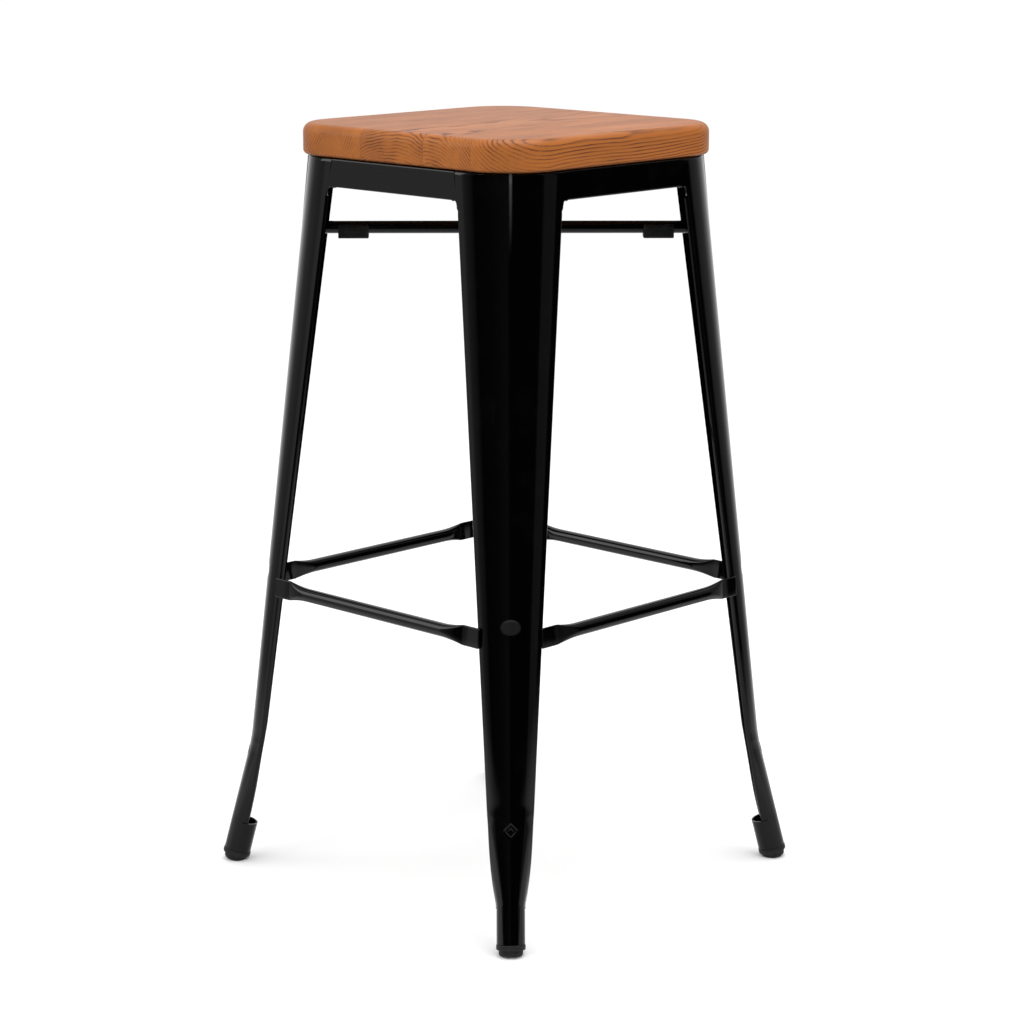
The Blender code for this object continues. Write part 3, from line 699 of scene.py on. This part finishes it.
def channel_half(radius, angle, flat, lip, tail, turn):
    """Half a channel as (inward, sideways) points, from its tip to its edge."""
    points = []
    for i in range(CORNER_PARTS + 1):
        a = (QUARTER - angle) * corner_share(i)
        points.append((radius - radius * math.cos(a), radius * math.sin(a)))
    start = points[-1]
    along = (math.cos(angle), math.sin(angle))
    inside = (math.sin(angle), -math.cos(angle))
    straight = flat - lip * math.sin(turn) - tail * math.cos(turn)
    for i in range(1, FLAT_PARTS + 1):
        step = straight * i / FLAT_PARTS
        points.append((start[0] + along[0] * step, start[1] + along[1] * step))
    edge = points[-1]
    for i in range(1, LIP_PARTS + 1):
        a = turn * i / LIP_PARTS
        run = lip * math.sin(a)
        drop = lip * (1.0 - math.cos(a))
        points.append((edge[0] + along[0] * run + inside[0] * drop,
                       edge[1] + along[1] * run + inside[1] * drop))
    last = points[-1]
    run = tail * math.cos(turn)
    drop = tail * math.sin(turn)
    points.append((last[0] + along[0] * run + inside[0] * drop,
                   last[1] + along[1] * run + inside[1] * drop))
    return points


def tube_half(radius, close, opening):
    """Half of the curled foot, with as many points as half a channel."""
    points = []
    for i in range(CORNER_PARTS + 1):
        a = (QUARTER - close) * corner_share(i)
        points.append((radius - radius * math.cos(a), radius * math.sin(a)))
    rest = FLAT_PARTS + LIP_PARTS + 1
    for i in range(1, rest + 1):
        a = lerp(QUARTER - close, math.pi - opening, i / rest)
        points.append((radius - radius * math.cos(a), radius * math.sin(a)))
    return points


def leg_half(shape, z):
    """Tilt and half section of the leg below its top fold."""
    sizes = shape.sizes
    if z >= sizes.flare_height:
        if z > shape.lip_top:
            return 0.0, channel_half(shape.corner(z), math.pi / 4, shape.flat(z), 0.0, 0.0, 0.0)
        share = ease((shape.lip_top - z) / LIP_GROWS)
        turn = lerp(0.25, QUARTER, share)
        return 0.0, channel_half(shape.corner(z), math.pi / 4, shape.flat(z), sizes.lip,
                                 sizes.lip_tail * max(0.2, share), turn)
    drop = sizes.flare_height - sizes.collar_top
    share = min(1.0, (sizes.flare_height - z) / drop)
    tilt = math.atan(sizes.flare_slope) * share
    if z <= sizes.collar_top - sizes.collar_step:
        return tilt, tube_half(sizes.collar, sizes.last_angle, sizes.collar_seam)
    radius = lerp(shape.corner(sizes.flare_height), sizes.collar, share)
    flat = lerp(sizes.flat_bend, sizes.last_flat, share)
    close = lerp(math.pi / 4, sizes.last_angle, share ** sizes.flare_power)
    return tilt, channel_half(radius, close, flat, sizes.lip, sizes.lip_tail, QUARTER)


def whole_section(half):
    """Both halves of a section, left edge to right edge."""
    return [(inward, -aside) for inward, aside in reversed(half[1:])] + half


def leg_heights(shape):
    """Heights of a leg's rows, closer where the sheet does more."""
    sizes = shape.sizes
    heights = [FRAME_TOP - sizes.fold]
    ease_top = sizes.flare_height + sizes.flare_ease
    for low, step in ((shape.lip_top, 0.0016), (shape.lip_top - LIP_GROWS, 0.0007),
                      (PLAIN_FROM, 0.0025), (sizes.dimple_height + 0.014, 0.0065),
                      (sizes.dimple_height - 0.014, 0.0008), (ease_top, 0.0065),
                      (sizes.lozenge_height + 0.010, 0.0016),
                      (sizes.lozenge_height - 0.010, 0.0006),
                      (sizes.collar_top + 0.004, 0.0030),
                      (sizes.collar_top - sizes.collar_step + 0.0008, 0.0012),
                      (sizes.collar_top - sizes.collar_step, 0.0008),
                      (sizes.collar_bottom, 0.0030)):
        heights += spaced(heights[-1], low, step)
    return heights


def leg_rows(shape):
    """Rows of points of the leg that stands on the +X diagonal."""
    sizes = shape.sizes
    rows = []
    insets = [(sizes.fold + sizes.shelf * (1.0 - i / 3), FRAME_TOP) for i in range(3)]
    for i in range(8):
        a = QUARTER * i / 8
        insets.append((sizes.fold * (1.0 - math.sin(a)),
                       FRAME_TOP - sizes.fold * (1.0 - math.cos(a))))
    for inset, level in insets:
        half = channel_half(shape.corner(FRAME_TOP) - inset, math.pi / 4,
                            shape.flat(FRAME_TOP), 0.0, 0.0, 0.0)
        tip = shape.tip(FRAME_TOP) - inset
        rows.append([(tip - inward, aside, level) for inward, aside in whole_section(half)])
    for z in leg_heights(shape):
        tilt, half = leg_half(shape, z)
        tip = shape.tip(z)
        rows.append([(tip - inward * math.cos(tilt), aside, z - inward * math.sin(tilt))
                     for inward, aside in whole_section(half)])
    return rows, len(insets)


DIMPLE_HALF = (0.0108, 0.0086)
LOZENGE_HALF = 0.0066


def press_marks(sizes, aside, z):
    """How far the press moves the outside of a leg, inwards, at a place on it."""
    depth = 0.0
    drop = FRAME_TOP - z
    if drop < sizes.ridge_length:
        fade = (1.0 - drop / sizes.ridge_length) ** 0.7
        depth -= sizes.ridge * fade * math.exp(-(aside / sizes.ridge_width) ** 2)
    reach = math.hypot(aside / DIMPLE_HALF[0], (z - sizes.dimple_height) / DIMPLE_HALF[1])
    if reach < 1.0:
        depth += sizes.dimple * ease((1.0 - reach) / 0.40)
    away = abs(aside) / LOZENGE_HALF + abs(z - sizes.lozenge_height) / LOZENGE_HALF
    if away < 1.3:
        depth += sizes.lozenge * (ease((1.15 - away) / 0.12) - 1.5 * ease((0.86 - away) / 0.14))
        depth += sizes.lozenge * 0.9 * ease((0.50 - away) / 0.14)
    return depth


def make_leg(sizes, rail):
    """One leg, pressed from a sheet, on the +X diagonal."""
    shape = LegShape(sizes, rail)
    rows, first = leg_rows(shape)
    heights = leg_heights(shape)
    columns = len(rows[0])
    edge = LIP_PARTS + 1
    cut = LIP_PARTS + FLAT_PARTS + 1
    lip_first = first + heights.index(shape.lip_top)
    step = heights.index(sizes.collar_top - sizes.collar_step)
    step_row = first + step - 1

    def keep(j, i):
        """Leaves out the lips where there are none, and slits the foot's top."""
        on_lip = i < edge or i >= columns - 1 - edge
        beside = i < cut or i >= columns - 1 - cut
        if j == step_row:
            return not beside
        if j > step_row:
            return True
        return not on_lip or j >= lip_first

    item = sheet_from_rows(rows, keep)
    item.data.update()
    normals = [point.normal.copy() for point in item.data.vertices]
    for point, normal in zip(item.data.vertices, normals):
        if normal.x > 0.3:
            depth = press_marks(sizes, point.co.y, point.co.z)
            if depth:
                point.co -= normal * depth
    modify(item, "SOLIDIFY", thickness=sizes.sheet, offset=-1.0, use_even_offset=True,
           use_rim=True)
    weld_and_face_out(item)
    soften(item)
    return item


class STOOL_OT_legs(Operator):
    """Press the four legs and stand them on the corners"""
    bl_idname = "stool.legs"
    bl_label = "Legs"

    def execute(self, context):
        scene = context.scene
        leg = make_leg(scene.stool_leg, scene.stool_rail)
        set_round(leg, CORNERS, "pressed_leg_", "leg_", "gloss_black_paint", "black_paint")
        return {"FINISHED"}


# --------------------------------------------------------- rails under the seat
def rail_drop(fillet, distance):
    """How far the rail's lower edge drops at a distance from its end."""
    run = max(0.0, fillet - distance)
    return fillet - math.sqrt(max(0.0, fillet ** 2 - run ** 2))


FILLET_PARTS = 10
HEM_GROWS = 0.006    # length over which the hem curls, past the fillet
END_LENGTH = 0.070   # part of a rail that is divided closely
NOTCH_DROP = 0.017   # how far down the seam stands open
HAIRLINE = 0.00005   # gap of the closed seam


def rail_rows(shape, rail):
    """Rows of points of the folded rail that faces -Y, and how many make its face."""
    stations = [rail.fillet * (1.0 - math.cos(QUARTER * i / FILLET_PARTS))
                for i in range(FILLET_PARTS + 1)]
    stations += spaced(rail.fillet, rail.fillet + HEM_GROWS, 0.0006)
    middle = spaced(stations[-1], END_LENGTH, 0.004)
    bottom = FRAME_TOP - rail.height
    profile = [(rail.fold + rail.shelf * (1.0 - i / 4), FRAME_TOP, 0.0, 0.0) for i in range(4)]
    for i in range(9):
        a = QUARTER * i / 8
        profile.append((rail.fold * (1.0 - math.sin(a)),
                        FRAME_TOP - rail.fold * (1.0 - math.cos(a)), 0.0, 0.0))
    top = FRAME_TOP - rail.fold
    for i in range(1, 15):
        profile.append((0.0, lerp(top, bottom, i / 14), ease(i / 14), 0.0))
    face_rows = len(profile) - 1
    for i in range(1, 9):
        profile.append((None, bottom, 1.0, i / 8))
    profile.append((None, bottom, 1.0, 2.0))
    rows = []
    for inset, height, share, curl in profile:
        gap = rail.notch * max(0.0, 1.0 - (FRAME_TOP - height) / NOTCH_DROP) + HAIRLINE
        row = []
        for sign in (-1.0, 1.0):
            places = stations + middle
            for distance in places if sign < 0.0 else reversed(places):
                grown = ease((distance - rail.fillet) / HEM_GROWS)
                turn = lerp(0.2, QUARTER, grown)
                level = height - share * rail_drop(rail.fillet, distance)
                z = level + share * rail.hem * math.sin(turn)
                y = inset
                if inset is None:
                    a = turn * min(1.0, curl)
                    tail = max(0.0, curl - 1.0) * rail.hem_tail * max(0.1, grown)
                    y = rail.hem * (1.0 - math.cos(a)) + tail * math.sin(turn)
                    z -= rail.hem * math.sin(a) + tail * math.cos(turn)
                x = shape.seam(level) - distance - gap * (1.0 - distance / END_LENGTH)
                row.append((sign * x, y - shape.side(z), z))
        rows.append(row)
    return rows, face_rows


def make_rail(sizes, rail):
    """One folded rail, on the side that faces -Y."""
    shape = LegShape(sizes, rail)
    rows, face_rows = rail_rows(shape, rail)
    columns = len(rows[0])

    def keep(j, i):
        """The hem runs between the fillets only."""
        return j < face_rows or FILLET_PARTS <= i < columns - 1 - FILLET_PARTS

    item = sheet_from_rows(rows, keep)
    modify(item, "SOLIDIFY", thickness=sizes.sheet, offset=-1.0, use_even_offset=True,
           use_rim=True)
    weld_and_face_out(item)
    soften(item)
    return item


class STOOL_OT_rails(Operator):
    """Fold the four rails that join the legs under the seat"""
    bl_idname = "stool.rails"
    bl_label = "Rails under the seat"

    def execute(self, context):
        scene = context.scene
        rail = make_rail(scene.stool_leg, scene.stool_rail)
        set_round(rail, SIDES, "folded_rail_", "apron_", "gloss_black_paint", "black_paint")
        return {"FINISHED"}


# -------------------------------------------------------------------- the seat
def rim_at(level):
    """Picks the edges around the board at a level."""
    def pick(edge):
        return (all(abs(v.co.z - level) < 1e-6 for v in edge.verts)
                and any(abs(face.normal.z) < 0.5 for face in edge.link_faces))
    return pick


class STOOL_OT_seat(Operator):
    """Make the wooden board with round corners and soft edges"""
    bl_idname = "stool.seat"
    bl_label = "Wooden seat"

    def execute(self, context):
        sizes = context.scene.stool_seat
        clear_selection()
        size = SEAT_HIGH - SEAT_LOW
        bpy.ops.mesh.primitive_cube_add(size=1.0, location=(SEAT_LOW + SEAT_HIGH) / 2)
        board = bpy.context.active_object
        board.scale = size
        settle(board)
        thick = size.z
        edit(board, lambda e: abs(e.verts[0].co.z - e.verts[1].co.z) > thick / 2)
        bpy.ops.mesh.bevel(offset=sizes.corner, offset_type="OFFSET", affect="EDGES",
                           segments=sizes.corner_steps, profile=0.5)
        finish_edit()
        for level, width, steps in ((SEAT_HIGH.z, sizes.top_round, 10),
                                    (SEAT_LOW.z, sizes.bottom_round, 6)):
            edit(board, rim_at(level))
            bpy.ops.mesh.bevel(offset=width, offset_type="OFFSET", affect="EDGES",
                               segments=steps, profile=0.5)
            finish_edit()
        weld_and_face_out(board)
        soften(board, 25.0)
        file_piece(board, "wooden_seat", "oiled_hardwood", "oiled_wood", "seat_board")
        return {"FINISHED"}


# --------------------------------------------------- tubes, bars and their pads
def round_bar(reach, radius, stations):
    """A bar along X, cut across at each station."""
    clear_selection()
    bpy.ops.mesh.primitive_cylinder_add(vertices=36, radius=radius, depth=2.0 * reach,
                                        location=(0.0, 0.0, 0.0),
                                        rotation=(0.0, QUARTER, 0.0))
    bar = bpy.context.active_object
    settle(bar)
    bar.data.transform(Matrix.Rotation(math.radians(5.0), 4, "X"))
    for place in stations:
        edit(bar)
        bpy.ops.mesh.bisect(plane_co=(place, 0.0, 0.0), plane_no=(1.0, 0.0, 0.0))
        finish_edit()
    return bar


def flatten(point, height, width, lift=0.0):
    """Press a point of a round bar to an oblong section."""
    a = math.atan2(point.z, point.y)
    radius = min(height, width) / 2
    point.y = radius * math.cos(a) + math.copysign(width / 2 - radius, point.y)
    point.z = radius * math.sin(a) + math.copysign(height / 2 - radius, point.z) + lift


def make_footrest(sizes):
    """A footrest tube with flattened ends, lapped on the front legs."""
    reach = RAIL_HIGH.x
    ends = [0.0002, 0.0005, 0.0010, 0.0016, sizes.tab_corner, 0.012, sizes.tab_flat]
    ends += [sizes.tab_flat + sizes.tab_flare * (i / 20) ** 1.4 for i in range(1, 21)]
    places = [sign * (reach - end) for sign in (-1.0, 1.0) for end in ends]
    tube = round_bar(reach, sizes.tube / 2, places + [0.0])
    for point in tube.data.vertices:
        end = reach - abs(point.co.x)
        share = 1.0 - ease(max(0.0, (end - sizes.tab_flat) / sizes.tab_flare) ** 0.6)
        height = lerp(sizes.tube, sizes.tab_height, share)
        width = lerp(sizes.tube, sizes.tab_thickness, share)
        height -= 2.0 * rail_drop(sizes.tab_corner, end)
        flatten(point.co, height, width)
    middle = (RAIL_LOW + RAIL_HIGH) / 2
    tilt = Matrix.Rotation(-math.atan(bpy.context.scene.stool_leg.splay), 4, "X")
    tube.data.transform(Matrix.Translation(middle) @ tilt)
    weld_and_face_out(tube)
    soften(tube, 35.0)
    return tube


class STOOL_OT_footrest(Operator):
    """Make the four footrest tubes with flattened ends"""
    bl_idname = "stool.footrest"
    bl_label = "Footrest"

    def execute(self, context):
        tube = make_footrest(context.scene.stool_bar)
        set_round(tube, SIDES, "footrest_tube_", "footrest_", "gloss_black_paint",
                  "black_paint")
        return {"FINISHED"}


def make_bar(sizes, lift):
    """A crossed bar along X, pinched flat in its middle."""
    reach = BRACE_HIGH.x * ROOT2 - sizes.bar / 2
    flat = sizes.pinch_flat
    steps = [0.0, flat] + spaced(flat, flat + sizes.pinch_flare, sizes.pinch_flare / 12)
    places = sorted({sign * step for sign in (-1.0, 1.0) for step in steps})
    bar = round_bar(reach, sizes.bar / 2, places)
    for point in bar.data.vertices:
        share = 1.0 - ease((abs(point.co.x) - flat) / sizes.pinch_flare)
        height = lerp(sizes.bar, sizes.pinch, share)
        width = lerp(sizes.bar, sizes.pinch_width, share)
        flatten(point.co, height, width, lift * share)
    bar.data.transform(Matrix.Translation((0.0, 0.0, (BRACE_LOW.z + BRACE_HIGH.z) / 2)))
    weld_and_face_out(bar)
    soften(bar, 35.0)
    return bar


class STOOL_OT_braces(Operator):
    """Make the two crossed bars under the seat"""
    bl_idname = "stool.braces"
    bl_label = "Crossed bars"

    def execute(self, context):
        sizes = context.scene.stool_bar
        for name, angle, side in (("upper", 45.0, 1.0), ("lower", 135.0, -1.0)):
            bar = make_bar(sizes, side * (sizes.pinch / 2 + 0.00015))
            bar.data.transform(Matrix.Rotation(math.radians(angle), 4, "Z"))
            file_piece(bar, "crossed_bar_" + name, "gloss_black_paint", "black_paint",
                       "cross_brace_" + name)
        return {"FINISHED"}


PAD_CHEEKS = 0.0050  # rubber beside the bar, both sides together
PAD_EDGE = 0.0007
BORE_SLACK = 0.0001


def make_pad(sizes):
    """A rubber pad, clipped on a bar along X at the bar's own height."""
    middle = (PAD_LOW + PAD_HIGH) / 2
    bar = (BRACE_LOW.z + BRACE_HIGH.z) / 2
    wide = sizes.bar + PAD_CHEEKS
    clear_selection()
    bpy.ops.mesh.primitive_cube_add(size=1.0, location=(0.0, 0.0, middle.z - bar))
    pad = bpy.context.active_object
    pad.scale = (sizes.pad_length, wide, PAD_HIGH.z - PAD_LOW.z)
    settle(pad)
    edit(pad, lambda e: abs(e.verts[0].co.x - e.verts[1].co.x) > sizes.pad_length / 2)
    bpy.ops.mesh.bevel(offset=sizes.pad_corner, affect="EDGES", segments=5, profile=0.5)
    finish_edit()
    edit(pad, lambda e: abs(e.verts[0].co.x - e.verts[1].co.x) < 1e-6)
    bpy.ops.mesh.bevel(offset=PAD_EDGE, affect="EDGES", segments=3, profile=0.5)
    finish_edit()
    clear_selection()
    bpy.ops.mesh.primitive_cylinder_add(vertices=40, radius=sizes.bar / 2 + BORE_SLACK,
                                        depth=0.08, rotation=(0.0, QUARTER, 0.0))
    bore = bpy.context.active_object
    modify(pad, "BOOLEAN", operation="DIFFERENCE", solver="EXACT", object=bore)
    discard(bore)
    pad.data.transform(Matrix.Translation((math.hypot(middle.x, middle.y), 0.0, bar)))
    weld_and_face_out(pad)
    soften(pad, 30.0)
    return pad


class STOOL_OT_pads(Operator):
    """Mould the four rubber pads that a stacked stool sits on"""
    bl_idname = "stool.pads"
    bl_label = "Stacking pads"

    def execute(self, context):
        pad = make_pad(context.scene.stool_bar)
        set_round(pad, CORNERS, "rubber_pad_", "stacking_pad_", "moulded_rubber",
                  "black_rubber")
        return {"FINISHED"}


# ------------------------------------------------------- turned rubber and steel
def turned_piece(profile, steps):
    """A piece turned about +Z from (radius, height) points."""
    mesh = bpy.data.meshes.new("profile")
    mesh.from_pydata([(radius, 0.0, height) for radius, height in profile],
                     [(i, i + 1) for i in range(len(profile) - 1)], [])
    item = bpy.data.objects.new("profile", mesh)
    bpy.context.scene.collection.objects.link(item)
    edit(item)
    bpy.ops.mesh.spin(steps=steps, angle=2.0 * math.pi, center=(0.0, 0.0, 0.0),
                      axis=(0.0, 0.0, 1.0))
    finish_edit()
    weld_and_face_out(item)
    return item


def round_corner(centre, radius, start, end, steps):
    """Points of an arc in a profile, angles in degrees."""
    points = []
    for i in range(steps + 1):
        a = math.radians(lerp(start, end, i / steps))
        points.append((centre[0] + radius * math.cos(a), centre[1] + radius * math.sin(a)))
    return points


def foot_profile(collar):
    """The foot rubber's half section, from the top of its stem to its base."""
    rim = collar + 0.0004
    base = rim - 0.0024
    stem = collar - 0.0025
    profile = [(0.0, 0.0200)] + round_corner((stem - 0.0015, 0.0185), 0.0015, 90, 0, 5)
    profile += [(stem, -0.0003)] + round_corner((rim - 0.0008, -0.0011), 0.0008, 90, 0, 5)
    profile += round_corner((rim - 0.0012, -0.0043), 0.0012, 0, -90, 5)
    profile += [(base, -0.0055)]
    profile += round_corner((base - 0.0034, -0.0084), 0.0034, 0, -90, 8)
    return profile + [(0.0, -0.0118)]


class STOOL_OT_feet(Operator):
    """Mould the four rubber feet, level where they meet the floor"""
    bl_idname = "stool.feet"
    bl_label = "Rubber feet"

    def execute(self, context):
        scene = context.scene
        sizes = scene.stool_leg
        shape = LegShape(sizes, scene.stool_rail)
        foot = turned_piece(foot_profile(sizes.collar), 64)
        lean = math.atan(sizes.flare_slope)
        place = Matrix.Translation((
            shape.tip(sizes.collar_bottom) - sizes.collar * math.cos(lean), 0.0,
            sizes.collar_bottom - sizes.collar * math.sin(lean)))
        foot.data.transform(place @ Matrix.Rotation(-lean, 4, "Y"))
        edit(foot)
        bpy.ops.mesh.bisect(plane_co=(0.0, 0.0, 0.0), plane_no=(0.0, 0.0, 1.0),
                            use_fill=True, clear_inner=True, threshold=1e-7)
        finish_edit()
        weld_and_face_out(foot)
        soften(foot, 30.0)
        set_round(foot, CORNERS, "rubber_foot_", "foot_plug_", "moulded_rubber",
                  "black_rubber")
        return {"FINISHED"}


SCREW_SHANK = 0.0022
SCREW_HEAD = 0.0028
RECESS = (0.0044, 0.0009, 0.0030)


def make_screw():
    """A pan head screw with a cross recess, its head down, its seat at z 0."""
    low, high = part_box("seat_screw_front_1")
    head = (high.x - low.x) / 2
    tip = high.z - low.z - SCREW_HEAD
    profile = [(0.0, tip), (0.0006, tip - 0.0004), (SCREW_SHANK, tip - 0.004),
               (SCREW_SHANK, 0.0), (head - 0.0002, 0.0), (head, -0.0002), (head, -0.0009)]
    profile += round_corner((head - 0.0019, -0.0009), 0.0019, 0, -90, 7)
    screw = turned_piece(profile + [(0.0, -SCREW_HEAD)], 40)
    for angle in (0.0, 90.0):
        clear_selection()
        bpy.ops.mesh.primitive_cube_add(size=1.0, location=(0.0, 0.0, -SCREW_HEAD))
        blade = bpy.context.active_object
        blade.scale = RECESS
        blade.rotation_euler = (0.0, 0.0, math.radians(angle + 20.0))
        modify(screw, "BOOLEAN", operation="DIFFERENCE", solver="EXACT", object=blade)
        discard(blade)
    weld_and_face_out(screw)
    soften(screw, 35.0)
    return screw


class STOOL_OT_screws(Operator):
    """Turn the eight screws that hold the seat from below"""
    bl_idname = "stool.screws"
    bl_label = "Seat screws"

    def execute(self, context):
        screw = make_screw()
        for side in SIDES:
            for number in (1, 2):
                node = "seat_screw_%s_%d" % (side, number)
                low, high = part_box(node)
                item = copy_turned(screw, 0.0)
                item.data.transform(Matrix.Translation(
                    ((low.x + high.x) / 2, (low.y + high.y) / 2, low.z + SCREW_HEAD)))
                file_piece(item, "pan_screw_%s_%d" % (side, number), "plated_screw",
                           "screw_steel", node)
        discard(screw)
        return {"FINISHED"}


# ------------------------------------------------------------------- finishes
class STOOL_OT_finishes(Operator):
    """Mix the finishes: paint, wood, rubber, zinc and floor"""
    bl_idname = "stool.finishes"
    bl_label = "Finishes"

    def execute(self, context):
        scene = context.scene
        paint_finish(scene.stool_finish, scene.stool_leg)
        wood_finish(scene.stool_finish, scene.stool_seat)
        rubber_finish(scene.stool_finish)
        zinc_finish(scene.stool_finish)
        floor_finish(scene.stool_stage)
        return {"FINISHED"}


# ---------------------------------------------------------------------- stage
AIM = (0.0, 0.0, 0.40)
# Name, place, size and power of each soft light.
SOFT_LIGHTS = (
    ("top_light", (0.25, 0.15, 2.6), (1.6, 1.6), 26.0),
    ("left_light", (-2.3, -1.9, 1.9), (1.3, 1.8), 12.0),
    ("front_light", (-0.2, -1.8, 2.5), (0.5, 0.5), 4.0),
    ("side_light", (1.8, 0.1, 2.5), (0.5, 0.5), 4.0),
)


def soft_light(name, place, size, power):
    """A soft light that faces the stool."""
    data = bpy.data.lights.new(name, "AREA")
    data.shape = "RECTANGLE"
    data.size, data.size_y = size
    data.energy = power
    lamp = bpy.data.objects.new(name, data)
    lamp.location = place
    aim = Vector(AIM) - Vector(place)
    lamp.rotation_euler = aim.to_track_quat("-Z", "Y").to_euler()
    bpy.context.scene.collection.objects.link(lamp)


# What the gloss sees around it: degrees round from the camera, and brightness.
WALL_LIGHT = (
    (-180, 1.0), (-150, 0.85), (-138, 0.55), (-122, 0.22), (-97, 0.22), (-91, 0.39),
    (-86, 0.40), (-80, 0.18), (-66, 0.085), (-60, 0.010), (-30, 0.020), (-4, 0.055),
    (2, 0.004), (57, 0.004), (62, 0.11), (84, 0.11), (87, 0.005), (97, 0.005),
    (101, 0.18), (122, 0.22), (138, 0.55), (150, 0.85), (180, 1.0),
)


WHITE = (1.0, 1.0, 1.0, 1.0)
SOFT_STRENGTH = 1.11


def studio_world(azimuth):
    """Soft white light all round, plain white behind, and a banded wall for the gloss."""
    world = bpy.data.worlds.new("studio")
    bpy.context.scene.world = world
    finish = Finish("studio", world)
    look = finish.node("TexCoord", output="Generated")

    def toward(angle):
        """How far a direction points to a side, from -1 to 1."""
        aim = (math.sin(angle), -math.cos(angle), 0.0)
        return finish.node("VectorMath", {"operation": "DOT_PRODUCT"}, {0: look, 1: aim},
                           "Value")

    angle = toward(azimuth + QUARTER).maths("ARCTAN2", toward(azimuth))
    wall = finish.ramp(angle / (2.0 * math.pi) + 0.5,
                       [(0.5 + turn / 360.0, light) for turn, light in WALL_LIGHT])
    gloss = finish.node("Background", inputs={"Color": WHITE, "Strength": wall})
    soft = finish.node("Background", inputs={"Color": WHITE, "Strength": SOFT_STRENGTH})
    plain = finish.node("Background", inputs={"Color": WHITE, "Strength": 1.0})
    glossy = finish.node("LightPath", output="Is Glossy Ray")
    seen = finish.node("LightPath", output="Is Camera Ray")
    both = finish.node("MixShader", inputs={0: glossy, 1: soft, 2: gloss})
    whole = finish.node("MixShader", inputs={0: seen, 1: both, 2: plain})
    finish.node("OutputWorld", inputs={"Surface": whole})


def place_camera(stage):
    """The camera, at its distance, height and tilt."""
    data = bpy.data.cameras.new("camera")
    data.sensor_width = 36.0
    data.lens = stage.lens
    data.shift_x = stage.shift
    data.clip_end = 100.0
    camera = bpy.data.objects.new("camera", data)
    a, t, r = stage.azimuth, stage.tilt, stage.roll
    right = Vector((math.cos(a), math.sin(a), 0.0))
    ahead = Vector((-math.sin(a) * math.cos(t), math.cos(a) * math.cos(t), -math.sin(t)))
    above = right.cross(ahead)
    side = right * math.cos(r) + above * math.sin(r)
    above = above * math.cos(r) - right * math.sin(r)
    turn = Matrix((side, above, -ahead)).transposed().to_4x4()
    place = (stage.distance * math.sin(a), -stage.distance * math.cos(a), stage.height)
    camera.matrix_world = Matrix.Translation(place) @ turn
    bpy.context.scene.collection.objects.link(camera)
    bpy.context.scene.camera = camera


class STOOL_OT_stage(Operator):
    """Lay the pale floor, hang the soft lights and place the camera"""
    bl_idname = "stool.stage"
    bl_label = "Floor, light and camera"

    def execute(self, context):
        stage = context.scene.stool_stage
        clear_selection()
        bpy.ops.mesh.primitive_circle_add(vertices=96, radius=40.0, fill_type="NGON")
        floor = bpy.context.active_object
        floor.name = "floor"
        floor.data.materials.append(bpy.data.materials["pale_floor"])
        for lamp in SOFT_LIGHTS:
            soft_light(*lamp)
        studio_world(stage.azimuth)
        place_camera(stage)
        context.scene.view_settings.view_transform = "Standard"
        return {"FINISHED"}


# ----------------------------------------------------------------------- panel
STEPS = ("finishes", "legs", "rails", "seat", "footrest", "braces", "pads", "feet", "screws",
         "stage")


class STOOL_PT_panel(Panel):
    """Settings and steps of the bar stool"""
    bl_idname = "STOOL_PT_panel"
    bl_label = "Bar stool"
    bl_space_type = "VIEW_3D"
    bl_region_type = "UI"
    bl_category = "Bar stool"

    def draw(self, context):
        for name, group in SETTINGS.items():
            box = self.layout.box()
            box.label(text=group.__doc__)
            for setting in group.__annotations__:
                box.prop(getattr(context.scene, name), setting)
        for step in STEPS:
            self.layout.operator("stool." + step)


CLASSES = tuple(SETTINGS.values()) + (
    STOOL_OT_finishes, STOOL_OT_legs, STOOL_OT_rails, STOOL_OT_seat, STOOL_OT_footrest,
    STOOL_OT_braces, STOOL_OT_pads, STOOL_OT_feet, STOOL_OT_screws, STOOL_OT_stage,
    STOOL_PT_panel)


def register():
    """Register the classes and hang the settings on the scene."""
    for item in CLASSES:
        bpy.utils.register_class(item)
    for name, group in SETTINGS.items():
        setattr(bpy.types.Scene, name, PointerProperty(type=group))


def unregister():
    """Take the settings and the classes away again."""
    for name in SETTINGS:
        delattr(bpy.types.Scene, name)
    for item in reversed(CLASSES):
        bpy.utils.unregister_class(item)


def main():
    """Make the whole stool on its frame."""
    register()
    clear_selection()
    for step in STEPS:
        getattr(bpy.ops.stool, step)()
    clear_selection()
    bpy.context.view_layer.update()


if __name__ == "__main__":
    main()
